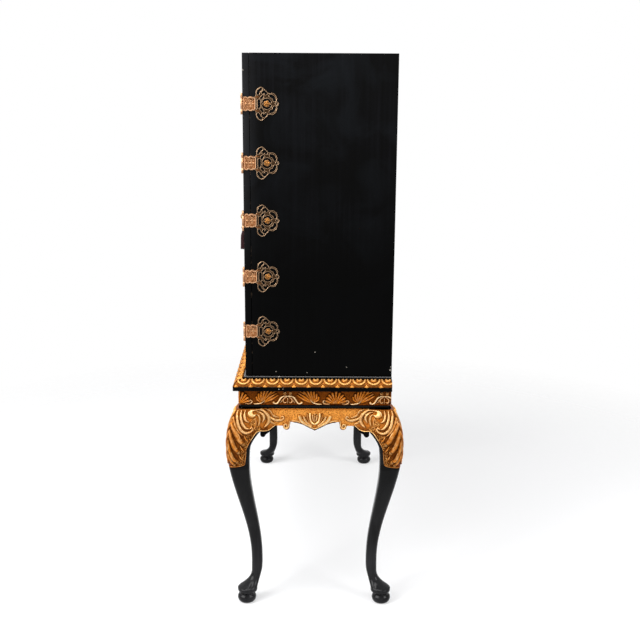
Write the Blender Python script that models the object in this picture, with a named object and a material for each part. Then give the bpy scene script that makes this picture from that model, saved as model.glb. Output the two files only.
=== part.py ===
# Cocktail cabinet: a lacquered two-door case on a carved stand with cabriole legs.
# Metres, +Z up. The doors face -Y, and the origin is on the floor under the middle of the stand.

import math

import bmesh
import bpy
from mathutils import Matrix, Vector

# Clearances
FIT = 0.0003                    # between pieces that touch
DOOR_GAP = 0.0015               # round each door
RUNNING = 0.0003                # round a pin, rod or bolt

# Case
CASE_WIDTH = 1.110
CASE_DEPTH = 0.400              # without the doors
CASE_HEIGHT = 0.916             # above the stand's top board
BOARD = 0.018                   # sides, top, shelf and upright
FLOOR_THICKNESS = 0.024
BACK_THICKNESS = 0.010
DOOR_THICKNESS = 0.018
GROOVE_DEPTH = 0.006            # housings of the shelves in the sides
SHELF_HEIGHT = 0.370            # clear height of the bottle bays
SHELF_SETBACK = 0.030           # shelf's front edge behind the front of the sides
GLASS_HEIGHT = 0.240            # glass shelf above the wooden shelf
GLASS_SETBACK = 0.090
GLASS_THICKNESS = 0.006
MIRROR_THICKNESS = 0.004
MIRROR_MARGIN = 0.010

# Hinges
HINGE_COUNT = 5
HINGE_TOP_MARGIN = 0.1325       # first hinge's middle below the case's top
HINGE_FOOT_MARGIN = 0.1555      # last hinge's middle above the stand's top board
PIVOT_OFFSET = 0.0022           # pin outside the case's side and in front of the door
KNUCKLE_RADIUS = 0.0028
KNUCKLE_LENGTH = 0.056
DOOR_KNUCKLE_LENGTH = 0.0274
PIN_RADIUS = 0.0011
PLATE = 0.0012                  # thickness of the brass plates
NECK_LENGTH = 0.0378            # from the pin to the rosette
NECK_HALF = 0.0197
ROSETTE_LENGTH = 0.0649
ROSETTE_HALF = 0.0435

# Rosette's outline above its axis, in shares of its length and half height, from neck to tip
ROSETTE_EDGE = (
    (0.01, 0.60), (-0.01, 0.87), (0.09, 0.85), (0.28, 1.00), (0.47, 0.77), (0.54, 0.61),
    (0.65, 0.65), (0.78, 0.60), (0.89, 0.42), (0.92, 0.26), (0.88, 0.09),
)
# Piercings above the axis, in the same shares
ROSETTE_PIERCINGS = (
    ((0.10, 0.64), (0.15, 0.59), (0.28, 0.87), (0.23, 0.92)),
    ((0.29, 0.65), (0.37, 0.60), (0.45, 0.65), (0.37, 0.78)),
    ((0.44, 0.36), (0.56, 0.16), (0.64, 0.14), (0.53, 0.38)),
    ((0.64, 0.51), (0.65, 0.40), (0.73, 0.25), (0.80, 0.20), (0.77, 0.43)),
)
ROSETTE_SLOT = ((0.155, 0.25), (0.205, 0.22))    # slot across the axis, beside the neck
# Neck's scalloped edge, in shares of its length and half height
NECK_EDGE = ((0.30, 1.04), (0.46, 0.86), (0.62, 1.08), (0.93, 0.82))

# Lock, key and tassel
KEY_X = 0.030                   # key's axis beside the meeting of the doors
KEY_HEIGHT = 0.416              # above the stand's top board
SHANK_RADIUS = 0.003
BOW_REACH = 0.041               # bow's middle in front of the door
BOW_RADIUS = 0.009
BOW_WIRE = 0.0016
BIT_LENGTH = 0.010              # from the key's axis
BIT_WIDTH = 0.006
BIT_THICKNESS = 0.002
KEYHOLE_DROP = 0.0125           # keyhole slot below the key's axis
KEYHOLE_SLOT = 0.004
LOCK_PLATE_RADIUS = 0.070
LOCK_PLATE_LOBES = 8            # scallops on each half
LOCK_PLATE_SCALLOP = 0.003
LOCK_EDGE = 0.002               # lock case behind the door's meeting edge
LOCK_WIDTH = 0.058
LOCK_HEIGHT = 0.046
LOCK_DEPTH = 0.012
LOCK_WALL = 0.0015
LOCK_BOLT_LENGTH = 0.043
LOCK_BOLT_TOP = 0.004           # bolt's upper edge below the key's axis
LOCK_BOLT_HEIGHT = 0.012
LOCK_BOLT_THICKNESS = 0.005
TALON_WIDTH = 0.0076            # notch in the bolt for the key's bit
TALON_DEPTH = 0.0072
TASSEL_LOOP = 0.004
TASSEL_CORD = 0.0011
TASSEL_NECK = 0.016             # cord from the loop to the head
TASSEL_HEAD = 0.0085
TASSEL_SKIRT = 0.064
TASSEL_RADIUS = 0.012

# Bolt of the left door
ROD_RADIUS = 0.004
ROD_LENGTH = 0.110
ROD_TRAVEL = 0.012
ROD_X = 0.032                   # beside the meeting of the doors
ROD_STANDOFF = 0.0085           # rod's axis behind the door
ROD_KNOB = 0.004
GUIDE_WIDTH = 0.022
GUIDE_LENGTH = 0.080
GUIDE_BASE = 0.002
GUIDE_LUG = 0.014

# Stand
FRIEZE_PROJECTION = 0.018       # frieze's face outside the case's front and sides
FRIEZE_SETBACK = 0.003          # frieze's back inside the case's back
LEG_TOP = 0.615
WAIST_HEIGHT = 0.012
WAIST_SETBACK = 0.0025
FRIEZE_HEIGHT = 0.045
FRIEZE_THICKNESS = 0.016
TOP_BOARD = 0.012
MOULDING_PROJECTION = 0.035     # outside the case
BEAD_PROJECTION = 0.006
BEAD_HEIGHT = 0.006
OVOLO_HEIGHT = 0.018
OVOLO_WIDTH = 0.026
POST = 0.0435
POST_MARGIN = 0.0012            # leg's inner faces past the post

# Cabriole legs, measured out from the frieze's faces
KNEE_HEIGHT = 0.490
KNEE_WIDTH = 0.0675
KNEE_OFFSET = 0.004
SHOULDER_OUT = 0.010
BRACKET_HEIGHT = 0.550          # where the leg's inner face meets the post
BRACKET_REACH = 0.106           # knee's swell dies into the apron this far from the corner
BRACKET_CORNER = 0.015
ANKLE_HEIGHT = 0.132
ANKLE_WIDTH = 0.0330
ANKLE_INSET = 0.044
TOE_TOP = 0.100
PAD_HEIGHT = 0.046
PAD_INSET = 0.016
PAD_RADIUS = 0.0295
FOOT_NECK_RADIUS = 0.0205
BUN_HEIGHT = 0.026
BUN_RADIUS = 0.0278
BUN_INSET = 0.0139
KNEE_TURN = 0.12                # share of the knee's height that stays full before it draws in
KNEE_POWER = 2.5                # how late the knee draws in towards the waist
BRACKET_POWER = 2.0             # how late the inner face spreads into the post
TOE_POWER = 3.4                 # how late the foot sweeps out to the toe
SHIN_POWER = 1.7                # how late the shin thickens towards the knee
HEEL_POWER = 1.2
PAD_UNDERCUT = 0.45             # pad's lower edge, in shares from bun to pad
LEG_SIDES = 16                  # a multiple of four, so that corners fall on points

# Aprons
APRON_THICKNESS = 0.020
APRON_SETBACK = 0.001
APRON_DEPTH = 0.041
CENTRE_DROP = 0.066
CENTRE_HALF_SIDE = 0.052
CENTRE_HALF_FRONT = 0.190
SCROLL_FROM_LEG = 0.074         # scroll's middle from the leg's post
SCROLL_RADIUS = 0.0095
SCROLL_DROP = 0.065
SHOULDER_DROP = 0.0525
EAR_LENGTH = 0.045
EAR_SWEEP = 1.3                 # how soon along its length the ear reaches its full drop
EAR_DROP = 0.072
EAR_BULB_RADIUS = 0.0065        # small drop at the ear's end, beside the leg
EAR_BULB_DROP = 0.085

# Worked-out planes
FRIEZE_X = CASE_WIDTH / 2 + FRIEZE_PROJECTION
FRIEZE_Y = (FRIEZE_PROJECTION + DOOR_THICKNESS + CASE_DEPTH - FRIEZE_SETBACK) / 2
DOOR_FRONT = FRIEZE_PROJECTION - FRIEZE_Y
DOOR_BACK = DOOR_FRONT + DOOR_THICKNESS
CASE_FRONT = DOOR_BACK + DOOR_GAP
CASE_BACK = DOOR_BACK + CASE_DEPTH
CASE_HALF = CASE_WIDTH / 2
INNER_HALF = CASE_HALF - BOARD
FRIEZE_BOTTOM = LEG_TOP + WAIST_HEIGHT
TOP_BOARD_BOTTOM = FRIEZE_BOTTOM + FRIEZE_HEIGHT
STAND_TOP = TOP_BOARD_BOTTOM + TOP_BOARD
CASE_TOP = STAND_TOP + CASE_HEIGHT
FLOOR_TOP = STAND_TOP + FLOOR_THICKNESS
CEILING = CASE_TOP - BOARD
SHELF_BOTTOM = FLOOR_TOP + SHELF_HEIGHT
SHELF_TOP = SHELF_BOTTOM + BOARD
GLASS_BOTTOM = SHELF_TOP + GLASS_HEIGHT
BACK_FRONT = CASE_BACK - BACK_THICKNESS
MIRROR_FRONT = BACK_FRONT - FIT - MIRROR_THICKNESS
POST_INNER = FRIEZE_THICKNESS + FIT + POST + POST_MARGIN
KEY_Z = STAND_TOP + KEY_HEIGHT
PIVOT_X = CASE_HALF + PIVOT_OFFSET
PIVOT_Y = DOOR_FRONT - PIVOT_OFFSET

# Linear colour, metallic, roughness
FINISHES = {
    "black_lacquer": ((0.006, 0.006, 0.007), 0.0, 0.18),
    "gilt_wood": ((0.58, 0.29, 0.06), 0.75, 0.42),
    "gilt_brass": ((0.50, 0.30, 0.11), 1.0, 0.34),
    "steel": ((0.42, 0.40, 0.38), 1.0, 0.32),
    "mahogany": ((0.105, 0.030, 0.012), 0.0, 0.30),
    "mirror_glass": ((0.85, 0.87, 0.87), 1.0, 0.03),
    "shelf_glass": ((0.62, 0.74, 0.70), 0.0, 0.04),
    "silk": ((0.035, 0.010, 0.016), 0.0, 0.75),
}


def clear_scene():
    for item in list(bpy.data.objects):
        bpy.data.objects.remove(item, do_unlink=True)


def finish(piece, kind):
    colour, metallic, roughness = FINISHES[kind]
    material = bpy.data.materials.new(piece.name + "_" + kind)
    material.use_nodes = True
    shader = material.node_tree.nodes["Principled BSDF"]
    shader.inputs["Base Color"].default_value = (*colour, 1.0)
    shader.inputs["Metallic"].default_value = metallic
    shader.inputs["Roughness"].default_value = roughness
    piece.data.materials.clear()
    piece.data.materials.append(material)


def axis_empty(name, place, parent=None):
    empty = bpy.data.objects.new(name, None)
    bpy.context.scene.collection.objects.link(empty)
    empty.empty_display_size = 0.02
    hang(empty, place, parent)
    return empty


def hang(item, place, parent):
    """Puts an object at a world place, under its parent."""
    offset = Vector(place)
    above = parent
    while above:
        offset -= above.location
        above = above.parent
    item.parent = parent
    item.location = offset


def solid(name, mesh, kind, place=(0, 0, 0), parent=None):
    piece = bpy.data.objects.new(name, mesh)
    bpy.context.scene.collection.objects.link(piece)
    hang(piece, place, parent)
    if kind:
        finish(piece, kind)
    return piece


def mesh_of(bm, name, smooth_angle=None):
    bmesh.ops.recalc_face_normals(bm, faces=bm.faces)
    mesh = bpy.data.meshes.new(name)
    bm.to_mesh(mesh)
    bm.free()
    if smooth_angle:
        mesh.shade_smooth()
        mesh.set_sharp_from_angle(angle=smooth_angle)
    return mesh


def box_mesh(name, size):
    bm = bmesh.new()
    bmesh.ops.create_cube(bm, size=1.0)
    bmesh.ops.scale(bm, verts=bm.verts, vec=size)
    return mesh_of(bm, name)


def box(name, low, high, kind, parent=None):
    low, high = Vector(low), Vector(high)
    return solid(name, box_mesh(name, high - low), kind, (low + high) / 2, parent)


def cylinder_mesh(name, radius, length, sides, turn=Matrix()):
    """A round bar about the local Z axis, then turned."""
    bm = bmesh.new()
    bmesh.ops.create_cone(
        bm, cap_ends=True, segments=sides, radius1=radius, radius2=radius, depth=length, matrix=turn)
    return mesh_of(bm, name, math.radians(40))


def ring_mesh(name, radius, wire, steps, sides, turn=Matrix()):
    """A closed ring of round wire about the local Z axis, then turned."""
    bm = bmesh.new()
    loop = [
        bm.verts.new((
            radius + wire * math.cos(math.tau * k / sides), 0, wire * math.sin(math.tau * k / sides)))
        for k in range(sides)]
    edges = [bm.edges.new((loop[k], loop[(k + 1) % sides])) for k in range(sides)]
    bmesh.ops.spin(
        bm, geom=edges, cent=(0, 0, 0), axis=(0, 0, 1), angle=math.tau, steps=steps, use_merge=True)
    bmesh.ops.remove_doubles(bm, verts=bm.verts, dist=1e-6)
    bmesh.ops.transform(bm, matrix=turn, verts=bm.verts)
    return mesh_of(bm, name, math.radians(60))


def turned_mesh(name, profile, sides):
    """A solid turned about Z from (radius, height) points, closed at both ends or round a bore."""
    bm = bmesh.new()
    rings = []
    for radius, height in profile:
        rings.append([
            bm.verts.new((
                radius * math.cos(math.tau * k / sides), radius * math.sin(math.tau * k / sides), height))
            for k in range(sides)])
    for lower, upper in zip(rings, rings[1:]):
        for k in range(sides):
            bm.faces.new((lower[k], lower[(k + 1) % sides], upper[(k + 1) % sides], upper[k]))
    if profile[0] == profile[-1]:
        bmesh.ops.remove_doubles(bm, verts=bm.verts, dist=1e-7)
    else:
        bm.faces.new(rings[0])
        bm.faces.new(rings[-1])
    return mesh_of(bm, name, math.radians(50))


def loft_mesh(name, rings, smooth_angle=None):
    """Skins rings of equal count and closes both ends."""
    bm = bmesh.new()
    made = [[bm.verts.new(point) for point in ring] for ring in rings]
    for first, second in zip(made, made[1:]):
        for k in range(len(first)):
            after = (k + 1) % len(first)
            bm.faces.new((first[k], first[after], second[after], second[k]))
    bm.faces.new(made[0])
    bm.faces.new(made[-1])
    return mesh_of(bm, name, smooth_angle)


def plate_mesh(name, outline, holes, thickness, frame):
    """A flat plate with holes: drawn in the frame's x and y, thickened along its z."""
    bm = bmesh.new()
    edges = []
    for loop in (outline, *holes):
        verts = [bm.verts.new((*point, 0)) for point in loop]
        edges += [bm.edges.new((verts[k - 1], verts[k])) for k in range(len(verts))]
    filled = bmesh.ops.triangle_fill(bm, use_beauty=True, use_dissolve=False, edges=edges)
    faces = [item for item in filled["geom"] if isinstance(item, bmesh.types.BMFace)]
    raised = bmesh.ops.extrude_face_region(bm, geom=faces, use_keep_orig=True)
    top = [item for item in raised["geom"] if isinstance(item, bmesh.types.BMVert)]
    bmesh.ops.translate(bm, verts=top, vec=(0, 0, thickness))
    bmesh.ops.transform(bm, matrix=frame, verts=bm.verts)
    return mesh_of(bm, name)


def combined(mesh, others, operation):
    """The mesh after a Boolean with each of the other meshes."""
    piece = solid(mesh.name + "_work", mesh, None)
    tools = []
    for k, other in enumerate(others):
        tool = solid(f"{mesh.name}_tool_{k}", other, None)
        modifier = piece.modifiers.new("Boolean", "BOOLEAN")
        modifier.operation = operation
        modifier.object = tool
        tools.append(tool)
    bpy.context.view_layer.update()
    graph = bpy.context.evaluated_depsgraph_get()
    result = bpy.data.meshes.new_from_object(piece.evaluated_get(graph))
    result.name = mesh.name
    for item in (piece, *tools):
        bpy.data.objects.remove(item, do_unlink=True)
    return result


def moved(mesh, offset):
    mesh.transform(Matrix.Translation(offset))
    return mesh


def ease(share):
    share = min(max(share, 0.0), 1.0)
    return share * share * (3 - 2 * share)


# Stand: the cabriole line, seen square on, out from the frieze's face

def knee_out(height):
    """Outer face above the knee: full at the knee, drawn in towards the waist."""
    turn = KNEE_HEIGHT + (LEG_TOP - KNEE_HEIGHT) * KNEE_TURN
    share = min(max((height - turn) / (LEG_TOP - turn), 0.0), 1.0)
    full = KNEE_OFFSET + KNEE_WIDTH / 2
    return SHOULDER_OUT + (full - SHOULDER_OUT) * (1 - share ** KNEE_POWER)


def knee_in(height):
    """Inner face above the knee, which spreads into the post."""
    share = min(max((height - KNEE_HEIGHT) / (BRACKET_HEIGHT - KNEE_HEIGHT), 0.0), 1.0)
    near = KNEE_OFFSET - KNEE_WIDTH / 2
    return near + (-POST_INNER - near) * share ** BRACKET_POWER


def swell_fade(offset):
    """How much of the knee's swell is left at this distance along the frieze from its corner."""
    return ease((offset + BRACKET_REACH) / (BRACKET_REACH - BRACKET_CORNER))


def shin_station(share):
    height = ANKLE_HEIGHT + (KNEE_HEIGHT - ANKLE_HEIGHT) * share
    middle = -ANKLE_INSET + (KNEE_OFFSET + ANKLE_INSET) * ease(share)
    width = ANKLE_WIDTH + (KNEE_WIDTH - ANKLE_WIDTH) * max(share, 0.0) ** SHIN_POWER
    power = 2.4 + 1.4 * share
    return height, middle, width / 2, power, power


def foot_station(share):
    """From the top of the toe's slope, share 0, down to the pad's edge, share 1."""
    height = TOE_TOP + (PAD_HEIGHT - TOE_TOP) * share
    outer = -ANKLE_INSET + ANKLE_WIDTH / 2
    inner = -ANKLE_INSET - ANKLE_WIDTH / 2
    outer += (PAD_RADIUS - PAD_INSET - outer) * share ** TOE_POWER
    inner += (-PAD_RADIUS - PAD_INSET - inner) * share ** HEEL_POWER
    power = 2.3 - 0.3 * share
    return height, (outer + inner) / 2, (outer - inner) / 2, power, power


def leg_stations():
    """Height, middle, half width, outer and inner squareness of each section, floor to shoulder."""
    bun = [
        (BUN_HEIGHT * high, -BUN_INSET, BUN_RADIUS * wide, 2.0, 2.0)
        for high, wide in ((0, 0.62), (0.12, 0.82), (0.3, 0.94), (0.55, 1.0), (0.8, 0.96), (0.93, 0.86))]
    neck = [(BUN_HEIGHT, -BUN_INSET, FOOT_NECK_RADIUS, 2.0, 2.0)]
    under = BUN_HEIGHT + (PAD_HEIGHT - BUN_HEIGHT) * PAD_UNDERCUT
    pad = [(under, -PAD_INSET, PAD_RADIUS * 0.97, 2.0, 2.0)]
    foot = [foot_station(share) for share in (1.0, 0.84, 0.66, 0.42)]
    shin = [shin_station(share) for share in (-0.03, 0.16, 0.34, 0.52, 0.7, 0.86, 1.0)]
    knee = []
    for share in (0.2, 0.4, 0.6, 0.8, 0.92, 1.0):
        height = KNEE_HEIGHT + (LEG_TOP - FIT - KNEE_HEIGHT) * share
        outer, inner = knee_out(height), knee_in(height)
        knee.append((height, (outer + inner) / 2, (outer - inner) / 2, 3.8 + 2.2 * share, 3.8 + 50 * share))
    return bun + neck + pad + foot + shin + knee


def leg_section(height, middle, half, outer_power, inner_power):
    """A rounded square whose outer faces fall away towards the aprons."""
    ring = []
    for k in range(LEG_SIDES):
        angle = math.tau * k / LEG_SIDES
        across, along = math.cos(angle), math.sin(angle)
        power = inner_power if across + along < 0 else outer_power
        reach = (abs(across) ** power + abs(along) ** power) ** (-1 / power)
        x = middle + half * reach * across
        y = middle + half * reach * along
        ring.append((
            x * swell_fade(y) if x > 0 else x,
            y * swell_fade(x) if y > 0 else y,
            height))
    return ring


def post_section(height):
    half = POST / 2
    middle = -FRIEZE_THICKNESS - FIT - half
    ring = []
    for k in range(LEG_SIDES):
        angle = math.tau * k / LEG_SIDES
        reach = half / max(abs(math.cos(angle)), abs(math.sin(angle)))
        ring.append((middle + reach * math.cos(angle), middle + reach * math.sin(angle), height))
    return ring


def leg(name, side, end):
    rings = [leg_section(*station) for station in leg_stations()]
    rings += [post_section(LEG_TOP - FIT), post_section(TOP_BOARD_BOTTOM - FIT)]
    placed = [
        [(side * (FRIEZE_X + x), end * (FRIEZE_Y + y), z) for x, y, z in ring]
        for ring in rings]
    solid(name, loft_mesh(name, placed, math.radians(50)), "gilt_wood")


def apron_edge(half_length, centre_half):
    """Lower edge of an apron from its middle to its end: distance along, depth below the top."""
    edge = [(0.0, CENTRE_DROP)]
    for share in (0.08, 0.4, 0.7, 1.0):
        edge.append((centre_half * share, CENTRE_DROP - (CENTRE_DROP - APRON_DEPTH) * (0.1 + 0.9 * share)))
    scroll = half_length - SCROLL_FROM_LEG
    edge.append((scroll - SCROLL_RADIUS, APRON_DEPTH))
    drop = SCROLL_DROP - SCROLL_RADIUS
    for degrees in (175, 140, 90, 40, 5):
        turn = math.radians(degrees)
        edge.append((scroll + SCROLL_RADIUS * math.cos(turn), drop + SCROLL_RADIUS * math.sin(turn)))
    edge.append((scroll + SCROLL_RADIUS * 1.02, SHOULDER_DROP))
    ear_length = EAR_LENGTH - 2.2 * EAR_BULB_RADIUS
    for share in (0.0, 0.25, 0.5, 0.75, 1.0):
        depth = SHOULDER_DROP + (EAR_DROP - SHOULDER_DROP) * ease(share * EAR_SWEEP)
        edge.append((half_length - EAR_LENGTH + ear_length * share, depth))
    for across, down in ((-1.0, 0.2), (-0.7, 0.75), (0.0, 1.0), (0.7, 0.75), (1.0, 0.2)):
        depth = EAR_DROP + (EAR_BULB_DROP - EAR_DROP) * down
        edge.append((half_length - EAR_BULB_RADIUS * (1 - across), depth))
    return edge


def apron(name, half_stand, face, centre_half, turn):
    """A board with a shaped lower edge whose ends swell out to the knees; turned about Z."""
    half_length = half_stand - POST_INNER - FIT
    edge = apron_edge(half_length, centre_half)
    edge = [(-along, depth) for along, depth in reversed(edge[1:])] + edge
    slices = []
    for along, depth in edge:
        fade = swell_fade(abs(along) - half_stand)
        back = APRON_THICKNESS - face
        ring = [(along, back, LEG_TOP - FIT), (along, back, LEG_TOP - depth)]
        for share in (1.0, 0.66, 0.33, 0.0):
            height = LEG_TOP - FIT - (depth - FIT) * share
            ring.append((along, APRON_SETBACK - face - knee_out(height) * fade, height))
        slices.append(ring)
    mesh = loft_mesh(name, slices, math.radians(35))
    mesh.transform(Matrix.Rotation(turn, 4, "Z"))
    solid(name, mesh, "gilt_wood")


def mitred_strip(name, profile, half_length, face, turn, kind):
    """A strip with mitred ends; profile points are out from the face, and up. Turned about Z."""
    ends = []
    for end in (-1, 1):
        ends.append([
            (end * (half_length + out - FIT / 2), -face - out, height) for out, height in profile])
    mesh = loft_mesh(name, ends, math.radians(40))
    mesh.transform(Matrix.Rotation(turn, 4, "Z"))
    solid(name, mesh, kind)


def frieze_profile():
    inner = -FRIEZE_THICKNESS
    low, high = FRIEZE_BOTTOM, TOP_BOARD_BOTTOM - FIT
    return (inner, low), (0, low), (0, high), (inner, high)


def waist_profile():
    """A strip with a half-round nose."""
    low, high = LEG_TOP, FRIEZE_BOTTOM - FIT
    radius = (high - low) / 2
    nose = -WAIST_SETBACK - radius
    points = [(-FRIEZE_THICKNESS, high), (-FRIEZE_THICKNESS, low)]
    for degrees in (-90, -45, 0, 45, 90):
        turn = math.radians(degrees)
        points.append((nose + radius * math.cos(turn), low + radius + radius * math.sin(turn)))
    return points


def moulding_profile():
    """Retaining bead above a quarter-round ovolo, out from the case and up from the stand's top."""
    low = STAND_TOP + FIT
    ledge = STAND_TOP + OVOLO_HEIGHT
    points = [(FIT, low), (FIT, ledge + BEAD_HEIGHT), (BEAD_PROJECTION * 0.5, ledge + BEAD_HEIGHT)]
    points.append((BEAD_PROJECTION * 0.87, ledge + BEAD_HEIGHT * 0.75))
    points.append((BEAD_PROJECTION, ledge + BEAD_HEIGHT * 0.4))
    points.append((BEAD_PROJECTION, ledge))
    for degrees in (90, 72, 54, 36, 18, 0):
        turn = math.radians(degrees)
        points.append((
            MOULDING_PROJECTION - OVOLO_WIDTH * (1 - math.cos(turn)),
            low + (OVOLO_HEIGHT - FIT) * math.sin(turn)))
    return points


def moulding_front():
    ends = []
    for end in (-1, 1):
        ends.append([
            (end * (CASE_HALF + out - FIT / 2), DOOR_FRONT - out, height)
            for out, height in moulding_profile()])
    solid("top_moulding_front", loft_mesh("top_moulding_front", ends, math.radians(30)), "gilt_wood")


def moulding_side(name, side):
    """Mitred at the front and cut off square at the back."""
    front = [
        (side * (CASE_HALF + out), DOOR_FRONT - out + FIT / 2, height) for out, height in moulding_profile()]
    back = [(side * (CASE_HALF + out), CASE_BACK, height) for out, height in moulding_profile()]
    solid(name, loft_mesh(name, [front, back], math.radians(30)), "gilt_wood")


def stand():
    for end_name, end in (("front", -1), ("back", 1)):
        for side_name, side in (("left", -1), ("right", 1)):
            leg(f"leg_{end_name}_{side_name}", side, end)
    runs = (
        ("front", FRIEZE_X, FRIEZE_Y, CENTRE_HALF_FRONT, 0.0),
        ("right", FRIEZE_Y, FRIEZE_X, CENTRE_HALF_SIDE, math.pi / 2),
        ("back", FRIEZE_X, FRIEZE_Y, CENTRE_HALF_FRONT, math.pi),
        ("left", FRIEZE_Y, FRIEZE_X, CENTRE_HALF_SIDE, -math.pi / 2),
    )
    for name, half, face, centre_half, turn in runs:
        apron("apron_" + name, half, face, centre_half, turn)
        mitred_strip("waist_bead_" + name, waist_profile(), half, face, turn, "black_lacquer")
        mitred_strip("frieze_" + name, frieze_profile(), half, face, turn, "gilt_wood")
    half = CASE_HALF + MOULDING_PROJECTION
    box("stand_top", (-half, DOOR_FRONT - MOULDING_PROJECTION, TOP_BOARD_BOTTOM),
        (half, CASE_BACK, STAND_TOP), "black_lacquer")
    moulding_front()
    moulding_side("top_moulding_left", -1)
    moulding_side("top_moulding_right", 1)


# Case

def case_side(name, side):
    """An upright board with grooves for the shelves, drawn from the front and run to the back."""
    low, high = FLOOR_TOP + FIT, CASE_TOP
    edge = [(CASE_HALF, low), (CASE_HALF, high), (INNER_HALF, high)]
    for bottom, thickness in ((GLASS_BOTTOM, GLASS_THICKNESS), (SHELF_BOTTOM, BOARD)):
        top = bottom + thickness + FIT
        edge += [(INNER_HALF, top), (INNER_HALF + GROOVE_DEPTH, top)]
        edge += [(INNER_HALF + GROOVE_DEPTH, bottom - FIT), (INNER_HALF, bottom - FIT)]
    edge.append((INNER_HALF, low))
    ends = [[(side * x, y, z) for x, z in edge] for y in (CASE_FRONT, CASE_BACK)]
    solid(name, loft_mesh(name, ends), "black_lacquer")


def case_top():
    """Board between the sides, with a blind hole below for the left door's bolt."""
    half = INNER_HALF - FIT
    size = Vector((2 * half, CASE_BACK - CASE_FRONT, BOARD))
    middle = Vector((0, (CASE_BACK + CASE_FRONT) / 2, CASE_TOP - BOARD / 2))
    board = moved(box_mesh("case_top", size), middle)
    depth = ROD_TRAVEL + RUNNING
    hole = cylinder_mesh("bolt_hole", ROD_RADIUS + 2 * RUNNING, 2 * depth, 16)
    moved(hole, (-ROD_X, DOOR_BACK + ROD_STANDOFF, CEILING))
    solid("case_top", combined(board, [hole], "DIFFERENCE"), "black_lacquer")


def case():
    box("case_floor", (-CASE_HALF, DOOR_FRONT, STAND_TOP + FIT), (CASE_HALF, CASE_BACK, FLOOR_TOP),
        "black_lacquer")
    case_side("case_side_left", -1)
    case_side("case_side_right", 1)
    case_top()
    half = INNER_HALF - FIT
    box("case_back", (-half, BACK_FRONT, FLOOR_TOP + FIT), (half, CASE_BACK, CEILING - FIT), "black_lacquer")
    shelf_half = INNER_HALF + GROOVE_DEPTH - FIT
    shelf_front = CASE_FRONT + SHELF_SETBACK
    box("shelf", (-shelf_half, shelf_front, SHELF_BOTTOM), (shelf_half, BACK_FRONT - FIT, SHELF_TOP),
        "mahogany")
    box("bottle_divider", (-BOARD / 2, shelf_front, FLOOR_TOP + FIT),
        (BOARD / 2, BACK_FRONT - FIT, SHELF_BOTTOM - FIT), "mahogany")
    mirror_half = half - MIRROR_MARGIN
    box("mirror", (-mirror_half, MIRROR_FRONT, SHELF_TOP + FIT),
        (mirror_half, BACK_FRONT - FIT, CEILING - MIRROR_MARGIN), "mirror_glass")
    box("glass_shelf", (-shelf_half, CASE_FRONT + GLASS_SETBACK, GLASS_BOTTOM),
        (shelf_half, MIRROR_FRONT - FIT, GLASS_BOTTOM + GLASS_THICKNESS), "shelf_glass")


# Doors and their hinges

def keyhole(clearance):
    """Round hole with a slot below it, about the key's axis."""
    radius = SHANK_RADIUS + clearance
    half = KEYHOLE_SLOT / 2
    start = -math.acos(half / radius)
    stop = math.pi - start
    steps = 9
    points = [(half, -KEYHOLE_DROP)]
    for k in range(steps + 1):
        angle = start + (stop - start) * k / steps
        points.append((radius * math.cos(angle), radius * math.sin(angle)))
    points.append((-half, -KEYHOLE_DROP))
    return [(KEY_X + x, KEY_Z + z) for x, z in points]


def upright_frame(place):
    """Frame whose x and y are the world's X and Z, and whose z runs back from the place given."""
    return Matrix.Translation((0, place, 0)) @ Matrix(((1, 0, 0, 0), (0, 0, 1, 0), (0, 1, 0, 0), (0, 0, 0, 1)))


def door(name, side, parent):
    inner, outer = DOOR_GAP / 2, CASE_HALF
    low, high = FLOOR_TOP + DOOR_GAP, CASE_TOP - FIT
    outline = [(side * inner, low), (side * outer, low), (side * outer, high), (side * inner, high)]
    holes = [keyhole(3 * RUNNING)] if side > 0 else []
    mesh = plate_mesh(name, outline, holes, DOOR_THICKNESS, upright_frame(DOOR_FRONT))
    solid(name, moved(mesh, -parent.location), "black_lacquer", parent.location, parent)


def leaf_outline(root):
    """Scalloped neck and rosette, after the points at the pin; mirrored below the axis."""
    upper = [(NECK_LENGTH * s, NECK_HALF * t) for s, t in NECK_EDGE]
    upper += [(NECK_LENGTH + ROSETTE_LENGTH * s, ROSETTE_HALF * t) for s, t in ROSETTE_EDGE]
    lower = [(s, -t) for s, t in reversed(upper)]
    tip = [(NECK_LENGTH + ROSETTE_LENGTH, 0.0)]
    return root + upper + tip + lower + [(s, -t) for s, t in reversed(root)]


def leaf_holes():
    holes = []
    for piercing in ROSETTE_PIERCINGS:
        points = [(NECK_LENGTH + ROSETTE_LENGTH * s, ROSETTE_HALF * t) for s, t in piercing]
        holes.append(points)
        holes.append([(s, -t) for s, t in points])
    slot = [(NECK_LENGTH + ROSETTE_LENGTH * s, ROSETTE_HALF * t) for s, t in ROSETTE_SLOT]
    holes.append(slot + [(s, -t) for s, t in reversed(slot)])
    return holes


def case_leaf_mesh(side):
    """Leaf along +Y on the case's side, with the outer knuckles and the pin."""
    split = DOOR_KNUCKLE_LENGTH / 2 + FIT
    clear = KNUCKLE_RADIUS + 2 * FIT
    root = [(clear, 0.0), (clear, split), (0.0, split), (0.0, NECK_HALF)]
    frame = Matrix((
        (0, 0, side, -side * (PIVOT_OFFSET - FIT)), (1, 0, 0, 0), (0, 1, 0, 0), (0, 0, 0, 1)))
    plate = plate_mesh("hinge_case_leaf", leaf_outline(root)[:-1], leaf_holes(), PLATE, frame)
    end = KNUCKLE_LENGTH / 2
    barrel = turned_mesh("hinge_pin", (
        (KNUCKLE_RADIUS, -end), (KNUCKLE_RADIUS, -split), (PIN_RADIUS, -split),
        (PIN_RADIUS, split), (KNUCKLE_RADIUS, split), (KNUCKLE_RADIUS, end)), 8)
    return combined(plate, [barrel], "UNION")


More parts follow.
